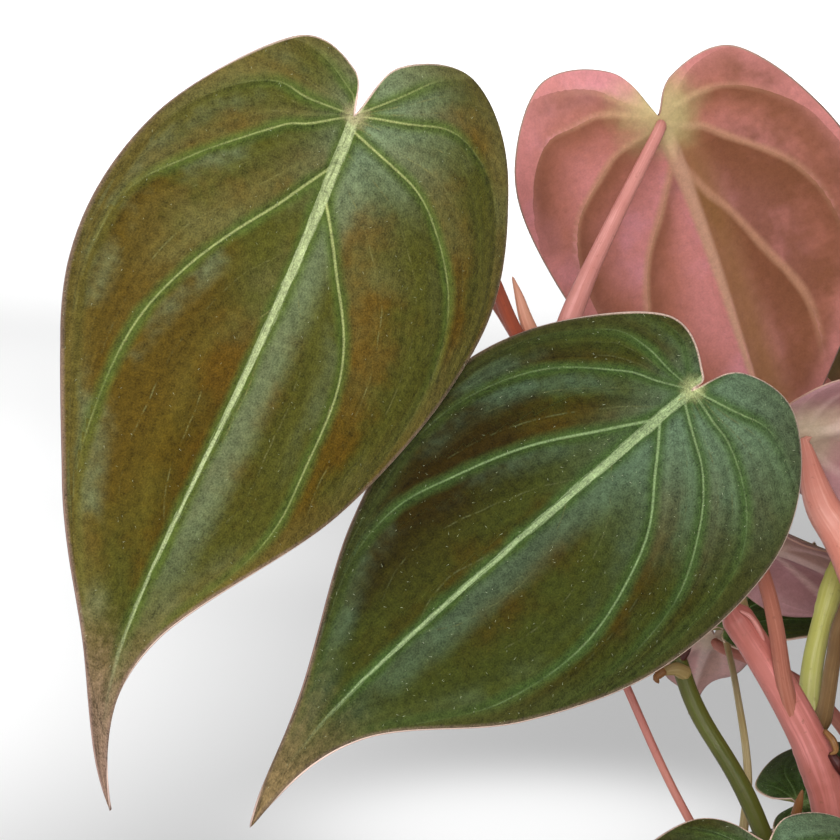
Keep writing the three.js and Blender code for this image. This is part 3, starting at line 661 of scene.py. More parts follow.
# %% Readings of a blade
def leaf_readings(tree, **scales):
    """The blade's measures, and noises with the given repeats in a millimetre, as sockets by name."""
    read = {}
    for name, parts in (("veins_near", "mid inner second"), ("veins_far", "outer lobe edge"),
                        ("panel", "q spacing share"), ("place", "x long reach")):
        source = add(tree, "ShaderNodeAttribute", attribute_name=name)
        split = add(tree, "ShaderNodeSeparateXYZ", {"Vector": source.outputs["Vector"]})
        read.update(zip(parts.split(), split.outputs))
    flat = add(tree, "ShaderNodeCombineXYZ", {"X": read["x"], "Y": read["mid"]})
    for name, scale in {**scales, "wobble": 0.05}.items():
        read[name] = add(tree, "ShaderNodeTexNoise", {"Vector": flat, "Scale": scale, **CLOUDY})
    read["midrib"], nearest, *others = [add(tree, "ShaderNodeMath", {0: read[part]}, operation="ABSOLUTE")
                                        for part in ("mid", "inner", "second", "outer", "lobe")]
    for other in others:
        nearest = add(tree, "ShaderNodeMath", {0: nearest, 1: other}, operation="MINIMUM")
    read["side_vein"] = nearest
    read["band"] = add(tree, "ShaderNodeMath", {0: read["q"]}, operation="FRACT")
    read["from_vein"] = add(tree, "ShaderNodeMath", {0: read["band"], 1: read["spacing"]},
                            operation="MULTIPLY")
    read["tip"] = add(tree, "ShaderNodeMath", {0: read["reach"], 1: read["long"]}, operation="DIVIDE")
    thirds = add(tree, "ShaderNodeMath", {0: ragged(tree, read["q"], read["wobble"], 0.12), 1: 3.0},
                 operation="MULTIPLY")
    off = add(tree, "ShaderNodeMath", {0: thirds, 1: 0.5}, operation="PINGPONG")
    third = add(tree, "ShaderNodeMath", {0: read["spacing"], 1: 1 / 3}, operation="MULTIPLY")
    read["minor_vein"] = add(tree, "ShaderNodeMath", {0: off, 1: third}, operation="MULTIPLY")
    return read


print("Readings ready")

# %% [markdown]
# ## The velvet
# The upper face of this leaf is covered with tiny cone-shaped cells that scatter light like velvet:
# soft, hardly shiny, and speckled. Beside every vein it changes from a painted grey-blue sheen on the
# side of the tip, through olive, to a warm brown on the side of the notch. The material reads the
# distances that the blade carries, so the bands follow each leaf's own veins.

# %% Ground of the velvet
AHEAD, LEFT, BESIDE = ("tip", "clouds", 0.3), ("mid", "clouds", 8.0), ("mid", "clouds", 2.2)
BAND, GAP = ("band", "clouds", 0.9), ("from_vein", "clouds", 2.6)
VELVET_GROUND = [
    ("warm", (BAND, 0.75, 0.25)),
    ("rust", ("patches", 0.42, 0.6), (BAND, 0.8, 0.35, 0.65), ("tip", 0.35, 0.95)),
    # One half of the blade is darker brown in the middle of its margin: partly its own browning, partly
    # painted shade
    ("browning_and_shade", (LEFT, -11.0, -3.0), (AHEAD, 0.34, 0.2), (AHEAD, 0.62, 0.82, 0.9)),
    # Painted sheen: a grey-blue band on the tip side of every side vein
    ("sheen", (GAP, 1.3, 0.4), (GAP, 1.8, 5.0), ("patches", 0.35, 0.58, 0.85), ("share", 0.35, 0.05),
     (LEFT, -11.0, 30.0)),
    # Painted sheen: the other half has a grey-blue sheen painted along the midrib
    ("sheen", (BESIDE, 1.2, 0.4), (BESIDE, 2.4, 6.5, 0.8), (AHEAD, 0.5, 0.95)),
    ("edge", ("edge", 0.6, 5.5, 0.65)),
    # Painted sheen on the panels beside the notch, painted shade there on the green finish
    ("lobe_sheen_and_shade", (("tip", "clouds", 0.25), 0.26, 0.5, 0.4), (BAND, 0.8, 0.1), ("patches", 0.7, 0.3)),
    # Painted sheen beside the midrib near the notch
    ("cool_sheen", (("reach", "clouds", 9.0), 3.0, "cool_to", 0.8), (BESIDE, 4.0, -9.0)),
]
print("Layers of the velvet's ground:", len(VELVET_GROUND))

# %% [markdown]
# The veins are painted over the ground. The midrib is up to 1.4 mm wide and fibrous at the notch and
# fades before the tip, each side vein is a clear line 0.4 mm wide that thins towards the margin, and
# green shines on both sides of them. Minor veins are broken hairlines. The margin is a thin clear edge,
# brown-pink on most of the leaf with a pale highlight painted beside the notch, and the tip is brown.

# %% Veins, tip and margin of the velvet
VELVET_VEINS = [
    ("green", (("side_vein", "clouds", 1.4), 0.2, 1.7, 0.85), ("share", 0.7, 1.0)),
    ("green", (("beyond", "clouds", 1.6), 0.1, 1.7, 0.9), ("tip", 0.7, 1.0)),
    ("minor", ("minor_vein", 0.03, 0.17, 0.6), ("clouds", 0.42, 0.56), ("crinkle", 0.42, 0.6),
     ("tip", 0.5, 0.8), ("share", 0.55, 0.95)),
    ("vein", (("line", "crinkle", 0.2), -0.08, 0.17), (("share", "clouds", 0.6), 0.4, 1.0)),
    ("rib", (("beyond", "crinkle", 0.5, "fibres", 0.9), -0.12, 0.28), ("tip", 0.62, 0.97, 0.95)),
    ("green", ("fibres", 0.62, 0.5, 0.35), ("beyond", -0.2, 0.2)),
    ("notch", (("reach", "crinkle", 2.5), 0.4, 2.6, 0.8)),
    ("tip", (("tip", "crinkle", 0.1), 1.0, 0.74)),
    ("margin", (("edge", "crinkle", 0.4), 0.1, 0.6, 0.65), ("tip", 0.45, 0.15)),
    # Painted highlight: a pale line on the very margin near the notch
    ("seam_highlight", (("edge", "crinkle", 0.1), 0.08, 0.26, 0.85), (("reach", "crinkle", 6.0), 11.0, 20.0)),
]
FELT = {"Sheen Weight": 0.02, "Sheen Roughness": 0.4}


def velvet_face(name, tones):
    """The whole upper face: ground, veins, margin, tip, fine speckle and relief."""
    material, tree = start_material(name)
    # The velvet's cells are 0.05 mm wide; drawn at 0.25 mm so that they show
    read = leaf_readings(tree, patches=0.06, clouds=0.16, crinkle=0.9, grain=4.0)
    # How far beyond the midrib's own width a point lies: the midrib is widest at the notch
    width = add(tree, "ShaderNodeMapRange", {"Value": read["tip"], "To Min": 1.0, "To Max": 0.0},
                interpolation_type="SMOOTHSTEP")
    width = add(tree, "ShaderNodeMath", {0: width, 1: 2.2}, operation="POWER")
    width = add(tree, "ShaderNodeMath", {0: width, 1: tones["rib_width"], 2: 0.1}, operation="MULTIPLY_ADD")
    read["beyond"] = add(tree, "ShaderNodeMath", {0: read["midrib"], 1: width}, operation="SUBTRACT")
    line = add(tree, "ShaderNodeMapRange", {"Value": read["share"], "To Min": 0.16, "To Max": 0.0})
    read["line"] = add(tree, "ShaderNodeMath", {0: read["side_vein"], 1: line}, operation="SUBTRACT")
    read["fibres"] = drawn_out(tree, X=(read["x"], 0.18), Y=(read["mid"], 4.5))
    colour = brush(tree, paint(tones["middle"]), read, tones, VELVET_GROUND + VELVET_VEINS)
    # Faint pleats follow the side veins: six across a panel, drawn out along it
    pleats = drawn_out(tree, X=(read["q"], 6.0), Y=(read["share"], 1.6), Z=(read["long"], 1))
    crinkle, grain = read["crinkle"], read["grain"]
    # Painted shade: the colour is painted lighter and darker along the pleats; crinkle and grain add speckle
    value = ragged(tree, 1.0, pleats, 1.1, crinkle, 1.5, grain, 2.1)
    colour = add(tree, "ShaderNodeHueSaturation", {"Color": colour, "Value": value})
    height = ragged(tree, 0.0, pleats, 1.2, crinkle, 1.5, grain, 0.6)
    for part, deep in (("side_vein", 0.3), ("minor_vein", 0.15)):
        valley = mask(tree, (read[part], 0.0, 0.6, deep))
        height = add(tree, "ShaderNodeMath", {0: height, 1: valley}, operation="SUBTRACT")
    end_material(tree, colour, ragged(tree, 0.58, grain, 0.25), height, 0.4, 0.8,
                 {**FELT, "Specular IOR Level": 0.08})
    return material


print("Layers of the velvet's veins, tip and margin:", len(VELVET_VEINS))

# %% The four velvets
VELVETS = {
    "": ("bronze", "green", "dark", "dusky"),
    "name": ("bronze leaf velvet", "green leaf velvet", "dark green leaf velvet", "dusky young leaf velvet"),
    "middle": ("#53521c", "#3f4516", "#3a4013", "#9a7672"),
    "warm": ("#56450f", "#3d390d", "#37380d", "#8c665e"),
    "rust": ("#6a4c12", "#4c3709", "#3b330a", "#845850"),
    # Painted shade, partly the leaf's own browning
    "browning_and_shade": ("#5d4812", "#302305", "#33330c", "#845c56"),
    # The next three tones are painted sheen; the third is painted shade on the green finish
    "sheen": ("#6e7b58", "#50644a", "#4c5e3a", "#a98a86"),
    "cool_sheen": ("#7a8d6a", "#6c8567", "#4f6a3c", "#7c6e42"),
    "lobe_sheen_and_shade": ("#7f8755", "#3c3a18", "#465a34", "#a98a86"),
    "edge": ("#6a5e2e", "#434922", "#404a20", "#a58480"),
    "green": ("#55672c", "#445c2c", "#3c5420", "#7a6c44"),
    "minor": ("#8f8c54", "#6c7046", "#52602e", "#a18a74"),
    "vein": ("#a9b170", "#869c6a", "#6f8e56", "#b09a80"),
    "rib": ("#bdc992", "#a6ba86", "#7b9962", "#a99a70"),
    "notch": ("#bdb085", "#b9bd84", "#88a060", "#b3a380"),
    "tip": ("#a08370", "#8c7550", "#6f6238", "#a07a6e"),
    "margin": ("#947a6c", "#7a6656", "#6f6448", "#b4948c"),
    # A painted highlight on the margin near the notch
    "seam_highlight": ("#f0d0be", "#eccab8", "#b9a488", "#c9a8a0"),
    "rib_width": (0.6, 0.5, 0.4, 0.35),
    "cool_to": (20.0, 30.0, 16.0, 16.0),
}


def finishes(make, table):
    """Makes a material of each column of a table and gives them by the name at the column's head."""
    rows = [dict(zip(table, column)) for column in zip(*table.values())]
    return {row[""]: make(row["name"], row) for row in rows}


velvets = finishes(velvet_face, VELVETS)
print("Velvets:", ", ".join(velvets))

# %% [markdown]
# ## The underside
# Below, this kind of leaf is dusty pink to wine red and a little waxier. The veins stand out as pale
# ridges, and beside each of them the pink turns brown-olive where the green of the face shows through.

# %% Undersides
GAP, BESIDE = ("from_vein", "clouds", 4.5), ("mid", "clouds", 1.5)
UNDER_LAYERS = [
    ("salmon", ("patches", 0.42, 0.62)),
    # Brown on the tip side of each vein fades to pink before the next one; one half is browner
    ("brown", (GAP, 2.6, 10.0, "strength"), ("q", 1.1, -0.3), ("share", 0.3, 0.02), ("edge", 5.0, 0.0)),
    ("olive", (("mid", "clouds", 10.0), -7.0, 2.0, 0.85), ("patches", 0.6, 0.34), ("tip", 0.2, 0.08)),
    ("olive", (GAP, 0.9, 4.0, 0.6), ("reach", 25.0, 60.0)),
    ("stripe", (BESIDE, -0.6, -0.1), (BESIDE, -2.2, -6.5, 0.8)),
    ("vein", (("side_vein", "clouds", 0.7), 0.1, 1.0, 0.75), ("share", 0.5, 1.0)),
    ("salmon", ("edge", 0.3, 3.0, 0.45)),
    ("rib", (("line", "crinkle", 0.5), -0.45, 0.4, 0.95)),
    ("notch", (("reach", "clouds", 7.0), 1.5, 9.0, 0.85)),
]
UNDERSIDES = {
    "": ("pink", "lilac", "mauve", "rose"),
    "name": ("dusty pink underside", "lilac young underside", "mauve young underside", "wine rose underside"),
    "pink": ("#de949a", "#f2c0c6", "#d8a8ae", "#a36664"),
    "salmon": ("#d68b86", "#e8b4b4", "#c8989c", "#965c52"),
    "brown": ("#ad6d56", "#cc9696", "#99686a", "#7a5240"),
    "olive": ("#86553a", "#bc9690", "#a07474", "#7e6b40"),
    "stripe": ("#946a3c", "#cca498", "#a88478", "#7e6b40"),
    "vein": ("#c89476", "#e4bcb8", "#c8a49e", "#a88e66"),
    "rib": ("#d0a085", "#e8c8c2", "#d0b0aa", "#b58e78"),
    "notch": ("#ccbb86", "#d8c4ac", "#c4b498", "#a2a464"),
    "strength": (0.85, 0.4, 0.7, 0.9),
}


def leaf_underside(name, tones):
    material, tree = start_material(name)
    read = leaf_readings(tree, patches=0.07, clouds=0.13, crinkle=0.8, grain=3.0)
    rib = add(tree, "ShaderNodeMapRange", {"Value": read["tip"], "To Min": 1.25, "To Max": 0.1})
    read["line"] = add(tree, "ShaderNodeMath", {0: read["midrib"], 1: rib}, operation="SUBTRACT")
    colour = brush(tree, paint(tones["pink"]), read, tones, UNDER_LAYERS)
    crinkle, grain = read["crinkle"], read["grain"]
    value = ragged(tree, 1.0, crinkle, 0.45, grain, 0.4)
    colour = add(tree, "ShaderNodeHueSaturation", {"Color": colour, "Value": value})
    height = ragged(tree, 0.0, crinkle, 0.6, grain, 0.15)
    end_material(tree, colour, ragged(tree, 0.5, grain, 0.2), height, 0.35, 0.6,
                 {**FELT, "Specular IOR Level": 0.12})
    return material


undersides = finishes(leaf_underside, UNDERSIDES)
print("Undersides:", ", ".join(undersides))

# %% [markdown]
# ## The margin
# The very edge of the blade, between both faces, is clear and without velvet. It is dull brown-pink on
# most of the leaf, with a pale highlight painted beside the notch and along one half.

# %% Rims
def leaf_rim(name, pale, dull):
    material, tree = start_material(name)
    read = leaf_readings(tree, clouds=0.2)
    # Painted highlight: the first tone is painted beside the notch and along one half
    colour = brush(tree, paint(dull), read, {"pale": pale}, [
        ("pale", (("mid", "clouds", 6.0), 2.0, -2.0)), ("pale", (("reach", "clouds", 10.0), 16.0, 26.0))])
    end_material(tree, colour, ragged(tree, 0.4, read["clouds"], 0.2))
    return material


# Each rim's first colour is its painted highlight, the second its own dull tone
pale_highlight_rim = leaf_rim("pale leaf margin", "#f0d3c4", "#9c7c70")
rosy_rim = leaf_rim("rosy leaf margin", "#b48c7c", "#9a7468")
print("Rims ready")

# %% [markdown]
# ## Putting the blades in place
# One blade for each leaf. It stands for the CAD leaf of the same name together with the stalk that
# comes next. Both are grown together on the plant.

# %% Build all blades
total = 0
for leaf in LEAVES:
    mesh = build_blade(leaf)
    rim = pale_highlight_rim if leaf["below"] == "rose" else rosy_rim
    for material in (velvets[leaf["finish"]], undersides[leaf["below"]], rim):
        mesh.materials.append(material)
    keep_piece(make_object(leaf["name"] + "_blade", mesh), leaf["name"])
    total += count_triangles(mesh)
print("Blades:", len(LEAVES), "with", total, "triangles")

# %% [markdown]
# ## Stems that follow a path
# Vines and leaf stalks are both round stems that follow a path and change in thickness. That is what
# Geometry Nodes are good at: a circle is swept along the path, scaled at each point by a thickness
# that the path carries. The tree also stores how far along and which way round each point lies, so
# that a material can draw streaks along the stem. Three helpers serve every tree: one starts it with
# its named inputs, one ends it, and one runs it on an object.

# %% Helpers for Geometry Nodes
def start_tree(name, result, inputs):
    """A tree with inputs, each written as a name and a kind, and their sockets by name."""
    tree = bpy.data.node_groups.new(name, "GeometryNodeTree")
    for words in inputs.split(", "):
        label, kind = words.rsplit(" ", 1)
        tree.interface.new_socket(label, in_out="INPUT", socket_type="NodeSocket" + kind)
    tree.interface.new_socket(result, in_out="OUTPUT", socket_type="NodeSocketGeometry")
    return tree, add(tree, "NodeGroupInput").outputs


def end_tree(tree, made, material):
    """Makes the instances real and gives the result its material."""
    real = add(tree, "GeometryNodeRealizeInstances", {"Geometry": made})
    done = add(tree, "GeometryNodeSetMaterial", {"Geometry": real, "Material": material})
    add(tree, "NodeGroupOutput", {0: done})
    print("The tree", tree.name, "has", len(tree.nodes), "nodes")
    return tree


def run_tree(source, tree, name, values):
    """Runs a Geometry Nodes tree on an object and returns its result as a new plain object."""
    modifier = source.modifiers.new("make", "NODES")
    modifier.node_group = tree
    for item in tree.interface.items_tree:
        if item.item_type == "SOCKET" and item.in_out == "INPUT" and item.name in values:
            modifier[item.identifier] = values[item.name]
    graph = bpy.context.evaluated_depsgraph_get()
    mesh = bpy.data.meshes.new_from_object(source.evaluated_get(graph))
    mesh.name = name
    source.modifiers.remove(modifier)
    bpy.data.objects.remove(source)
    return make_object(name, mesh)


print("Geometry Nodes helpers ready")

# %% Geometry Nodes tree that sweeps a stem
def stem_tree():
    tree, given = start_tree("stem along a path", "Stem",
                             "Path Geometry, Sides Int, Step Float, Skin Material")
    curve = add(tree, "GeometryNodeMeshToCurve", {"Mesh": given["Path"]})
    curve = add(tree, "GeometryNodeResampleCurve", {"Curve": curve, "Length": given["Step"]}, mode="LENGTH")
    along = add(tree, "GeometryNodeSplineParameter").outputs["Length"]
    curve = add(tree, "GeometryNodeStoreNamedAttribute", {"Geometry": curve, "Name": "along", "Value": along})
    ring = add(tree, "GeometryNodeCurvePrimitiveCircle", {"Resolution": given["Sides"], "Radius": 1.0})
    place = add(tree, "GeometryNodeInputPosition")
    ring = add(tree, "GeometryNodeStoreNamedAttribute", {"Geometry": ring, "Name": "around", "Value": place},
               data_type="FLOAT_VECTOR")
    thick = add(tree, "GeometryNodeInputNamedAttribute", {"Name": "thick"}, data_type="FLOAT")
    swept = add(tree, "GeometryNodeCurveToMesh", {
        "Curve": curve, "Profile Curve": ring, "Scale": thick, "Fill Caps": True})
    swept = add(tree, "GeometryNodeSetShadeSmooth", {"Geometry": swept})
    return end_tree(tree, swept, given["Skin"])


sweep = stem_tree()
# How far each ring of a rounded end stands out, and how wide it is, in parts of the radius
DOME = np.array([(0.7, 0.05), (0.595, 0.5), (0.35, 0.85)])


def sweep_stem(name, points, radii, skin, sides, step):
    """Points and radii in millimetres. The ends close to a dome."""
    points, radii = np.asarray(points, float), np.asarray(radii, float)
    first = (points[0] - points[1]) / np.linalg.norm(points[0] - points[1])
    last = (points[-1] - points[-2]) / np.linalg.norm(points[-1] - points[-2])
    out, width = DOME.T
    head = points[0] + np.outer(out * radii[0], first)
    tail = points[-1] + np.outer(out * radii[-1], last)[::-1]
    points = np.vstack([head, points, tail])
    radii = np.concatenate([radii[0] * width, radii, radii[-1] * width[::-1]])
    mesh = make_mesh(name, points, [(i, i + 1) for i in range(len(points) - 1)], [])
    carried = mesh.attributes.new("thick", "FLOAT", "POINT")
    carried.data.foreach_set("value", (radii * MM).astype(np.float32))
    return run_tree(make_object(name + "_path", mesh), sweep, name,
                    {"Sides": sides, "Step": step * MM, "Skin": skin})


# %% [markdown]
# ## Stem skins
# The stems are smooth and a little waxy, like green beans: a satin shine, fine streaks along their
# length, and a colour that goes from pink or olive at one place to another further on. Sheaths and dry
# scales are finished the same way in their own tones.

# %% Waxy stem material
SKINS = {
    "pink_vine": ("waxy pink vine", "#c3736a #d98b86 #aa6052 #8d5a46"),
    "olive_vine": ("waxy olive vine", "#474e0e #5a6020 #52501c #3c3c10"),
    "lime_vine": ("waxy lime vine", "#bdbd6c #cdca90 #adaf54 #948f54"),
    "brown_vine": ("woody brown vine", "#79705f #8a7d62 #6a5c48 #57493a"),
    "red": ("brick red stalk", "#b0573c #c46c50 #964a38 #7a4030"),
    "brown": ("brown pink stalk", "#ad6a58 #b97a66 #98543f #7c4636"),
    "pink": ("dusty pink stalk", "#c27b70 #d08c7a #b0695f #9a6254"),
    "rosy": ("rosy stalk", "#dc938b #f0aca4 #c47c70 #b07060"),
    "salmon": ("salmon sheath stalk", "#e09684 #edb3a4 #cf7c6a #b87060"),
    "tan": ("tan stalk", "#b09e6a #beb188 #988256 #7a623e"),
    "umber": ("brown tan stalk", "#7d6240 #94784e #6a4f30 #5a4028"),
    "peach": ("fresh peach sheath", "#d99c82 #e2ab8e #c98a70 #b9a270"),
    "tan_end": ("tan sheath stub", "#9c8654 #ae9868 #86703f #7a5c38"),
    "dry": ("dry brown scale", "#8a5c30 #a67c48 #6f4522 #4f3018"),
    "maroon": ("dry maroon scale", "#4a1a14 #5a241c #3a120e #2a0c0a"),
}
SKIN_LAYERS = [("low", ("patches", 0.4, 0.62)), ("streak", ("streaks", 0.45, 0.66, 0.6)),
               ("fleck", ("flecks", 0.72, 0.6, 0.5))]


def stem_skin(name, tones):
    tones = dict(zip(("low", "high", "streak", "fleck"), tones.split()))
    material, tree = start_material(name)
    along = add(tree, "ShaderNodeAttribute", attribute_name="along").outputs["Fac"]
    around = add(tree, "ShaderNodeAttribute", attribute_name="around").outputs["Vector"]
    x, y, _ = add(tree, "ShaderNodeSeparateXYZ", {"Vector": around}).outputs
    # Streaks are drawn out along the stem: 60 repeats in a metre of length, 3 across its radius
    read = {"streaks": drawn_out(tree, X=(x, 3.0), Y=(y, 3.0), Z=(along, 60.0))}
    spot = add(tree, "ShaderNodeTexCoord").outputs["Object"]
    for noise, scale in (("patches", 60.0), ("flecks", 900.0)):
        read[noise] = add(tree, "ShaderNodeTexNoise", {"Vector": spot, "Scale": scale, **CLOUDY})
    colour = brush(tree, paint(tones["high"]), read, tones, SKIN_LAYERS)
    height = ragged(tree, 0.0, read["streaks"], 1.0, read["flecks"], 0.35)
    end_material(tree, colour, ragged(tree, 0.42, read["flecks"], 0.25), height, 0.25, 0.6,
                 {"Specular IOR Level": 0.35})
    return material


skins = {key: stem_skin(*skin) for key, skin in SKINS.items()}
print("Skins:", ", ".join(skins))

# %% [markdown]
# ## Vines
# A vine is a row of joints. At each joint, or node, it swells a little, and a ring is left where an old
# leaf sheath sat. The swelling is a narrow hill added to the thickness at each node, and where a fresh
# sheath ends, the vine steps down to its own thickness.

# %% Build the vines
VINE_SLACK = 1.05
USUAL_SWELLING = 0.2
SHEATH_STEP, SHEATH_EASE = 0.42, 0.25
for name, vine in VINES.items():
    dense = smooth_rows(np.column_stack([vine["points"], vine["radii"]]), np.linspace(0, 1, 300))
    points, radii = dense[:, :3], dense[:, 3] * VINE_SLACK
    swelling = vine.get("swelling", USUAL_SWELLING)
    for node in vine["points"][1:-1]:
        away = np.linalg.norm(points - np.array(node), axis=1)
        radii = radii * (1 + swelling * closeness(away, 2.2) + swelling / 2 * closeness(away - 2.6, 0.5))
    if "sheath_end" in vine:
        radii = radii * (1 - SHEATH_STEP / (1 + np.exp((vine["sheath_end"] - points[:, 2]) / SHEATH_EASE)))
    stem = sweep_stem(name + "_stem", points, radii, skins[vine["slot"]], sides=24, step=0.5)
    keep_piece(stem, name)
print("Vines:", len(VINES))

# %% [markdown]
# ## Leaf stalks
# A stalk leaves its vine at a node, a little swollen, and grows into the blade's midrib. So its path
# runs on below the blade, getting thinner, and becomes the rib that can be felt there.

# %% Build the stalks
STALK_THICK, STALK_TAPER = 1.15, 0.3
STALK_TOP = [0.4, 0, -VALLEY_DEEP * 4 - 1.3]
RIB_ROWS = 12


def stalk_points(leaf):
    """The stalk's path from inside its vine to just below the notch."""
    vine = VINES[leaf["vine"]]
    place = leaf["node"]
    node = np.array(vine["points"][place], float)
    top = into_plant(leaf, STALK_TOP)
    by = [np.array(p, float) for p in leaf["by"]]
    if not by:
        by = [(node + top) / 2 + np.array([0, 0, 0.12 * np.linalg.norm(top - node)])]
    ahead = np.array(vine["points"][min(place + 1, len(vine["points"]) - 1)], float)
    along = ahead - np.array(vine["points"][place - 1], float)
    along /= np.linalg.norm(along)
    out = by[0] - node
    out -= along * (out @ along)
    out /= np.linalg.norm(out)
    foot = leaf["stalk"][0] if leaf["stalk"] else STALK_THICK
    start = node + out * (vine["radii"][place] * 0.9 + 0.3 * foot - leaf["sink"])
    return [start, *by, top]


for leaf in LEAVES:
    points = stalk_points(leaf)
    last = len(points) - 1
    radii = leaf["stalk"] or [STALK_THICK - STALK_TAPER * i / last for i in range(last)]
    radii = list(radii) + [min(radii[-1], 0.85)]
    dense = smooth_rows(np.column_stack([points, radii]), np.linspace(0, 1, 60))
    run = np.linspace(0.03, 0.11, RIB_ROWS)
    thin = np.linspace(0.75, 0.3, RIB_ROWS)
    valley = valley_depth(vein_fields(leaf, run, np.zeros(RIB_ROWS)))
    below = bend_blade(leaf, run, np.zeros(RIB_ROWS), valley + thin + 0.3)
    path = np.vstack([dense[:-1], np.column_stack([into_plant(leaf, below), thin])])
    near_foot = np.linalg.norm(path[:, :3] - path[0, :3], axis=1)
    path[:, 3] *= 1 + 0.5 * closeness(near_foot, 2.5)
    stem = sweep_stem(leaf["name"] + "_stalk", path[:, :3], path[:, 3], skins[leaf["stem"]],
                      sides=14, step=0.8)
    keep_piece(stem, leaf["name"])
print("Stalks:", len(LEAVES))

# %% [markdown]
# ## Sheaths, stubs and dry scales
# Where a leaf or a side shoot has grown, the vine keeps what wrapped it: a fresh pointed sheath at its
# growing tip, a tan stub with a dry brown end, and small curled scales, orange to dark red. They are
# short stems too, so the same tree sweeps them along a few bent points.

# %% Build the small ends
# Each has its vine, its skin, and rows of a point and the radius there
ENDS = {
    "sheath_shoulder": ("vine_main", "rosy", [
        [-37.6, -14.0, 169.3, 0.2], [-36.2, -14.2, 168.5, 0.34],
        [-34.9, -13.6, 166.4, 0.34], [-33.8, -12.8, 163.6, 0.12]]),
    "sheath_tip": ("vine_main", "peach", [
        [-67.0, -13.6, 208.6, 1.15], [-68.2, -13.6, 211.6, 0.95],
        [-69.1, -13.2, 214.6, 0.62], [-70.0, -12.6, 217.2, 0.14]]),
    "olive_stub": ("vine_olive", "tan_end", [
        [-45.5, -16.2, 160.8, 1.15], [-46.8, -17.0, 161.6, 1.0], [-48.6, -17.6, 161.4, 0.6]]),
    "olive_stub_end": ("vine_olive", "dry", [
        [-48.6, -17.8, 161.5, 0.66], [-49.6, -18.0, 160.6, 0.55], [-49.3, -18.2, 159.9, 0.2]]),
    "olive_scale": ("vine_olive", "maroon", [
        [-46.0, -16.0, 163.0, 0.75], [-45.2, -16.2, 164.1, 0.5], [-44.7, -16.4, 165.3, 0.2]]),
    "main_scale_high": ("vine_main", "dry", [
        [-25.4, -13.4, 151.6, 0.4], [-24.3, -14.2, 150.4, 0.55],
        [-23.9, -14.5, 149.0, 0.45], [-24.7, -14.5, 148.5, 0.15]]),
    "main_scale_dark": ("vine_main", "maroon", [
        [-24.4, -12.8, 148.0, 0.6], [-23.4, -13.2, 146.6, 0.8], [-22.9, -13.2, 145.2, 0.4]]),
    "main_scale_low": ("vine_main", "dry", [
        [-29.4, -13.5, 139.4, 0.75], [-29.0, -14.2, 141.4, 0.6], [-28.6, -14.6, 143.2, 0.2]]),
}
for name, (vine, skin, rows) in ENDS.items():
    rows = smooth_rows(rows, np.linspace(0, 1, 16))
    end = sweep_stem(name, rows[:, :3], rows[:, 3], skins[skin], sides=12, step=0.25)
    keep_piece(end, vine)
print("Small ends:", len(ENDS))

# %% [markdown]
# ## Hairs on the velvet
# Close up, short pale hairs and crumbs of dust lie on the leaves. Each is a tapered spike less than a
# millimetre long. Geometry Nodes scatter them on the upper faces, turned to the surface and then laid
# over by a random angle, and the tree is the same for every leaf.

# %% Geometry Nodes tree that scatters hairs
FULL_TURN = 6.28


def hair_tree():
    tree, given = start_tree("hairs on a leaf", "Hairs",
                             "Blade Geometry, Per square metre Float, Shortest Float, Longest Float, "
                             "Thickness Float, Seed Int, Hair Material")
    upper = add(tree, "FunctionNodeCompare", {2: add(tree, "GeometryNodeInputMaterialIndex"), 3: 0},
                data_type="INT", operation="EQUAL")
    spread = add(tree, "GeometryNodeDistributePointsOnFaces", {
        "Mesh": given["Blade"], "Selection": upper, "Density": given["Per square metre"],
        "Seed": given["Seed"]})
    spike = add(tree, "GeometryNodeMeshCone", {
        "Vertices": 4, "Radius Top": 0.02, "Radius Bottom": 1.0, "Depth": 1.0})
    lay = add(tree, "FunctionNodeRandomValue", {0: (1.15, 0.0, 0.0), 1: (1.5, 0.0, FULL_TURN), "Seed": 5},
              data_type="FLOAT_VECTOR")
    lay = add(tree, "FunctionNodeEulerToRotation", {"Euler": lay})
    turn = add(tree, "FunctionNodeRotateRotation", {"Rotation": spread.outputs["Rotation"], "Rotate By": lay},
               rotation_space="LOCAL")
    long = add(tree, "FunctionNodeRandomValue", {2: given["Shortest"], 3: given["Longest"], "Seed": 9},
               data_type="FLOAT")
    size = add(tree, "ShaderNodeCombineXYZ", {
        "X": given["Thickness"], "Y": given["Thickness"], "Z": long.outputs[1]})
    hairs = add(tree, "GeometryNodeInstanceOnPoints", {
        "Points": spread.outputs["Points"], "Instance": spike.outputs["Mesh"], "Rotation": turn,
        "Scale": size})
    return end_tree(tree, hairs, given["Hair"])


hairs_on = hair_tree()

# %% Hairs on every leaf
USUAL_HAIRS, MORE_HAIRS = 36000.0, {"leaf_left": 50000.0, "leaf_centre": 120000.0}


def pale_hair():
    """Hairs and dust are dry and clear, so they look off-white and catch the light."""
    material, tree = start_material("pale leaf hair")
    spot = add(tree, "ShaderNodeTexCoord").outputs["Object"]
    noise = add(tree, "ShaderNodeTexNoise", {"Vector": spot, "Scale": 700.0, **CLOUDY})
    colour = brush(tree, paint("#c3caa8"), {"noise": noise}, {"dull": "#8c9364"},
                   [("dull", ("noise", 0.35, 0.6))])
    end_material(tree, colour, ragged(tree, 0.5, noise, 0.3))
    return material


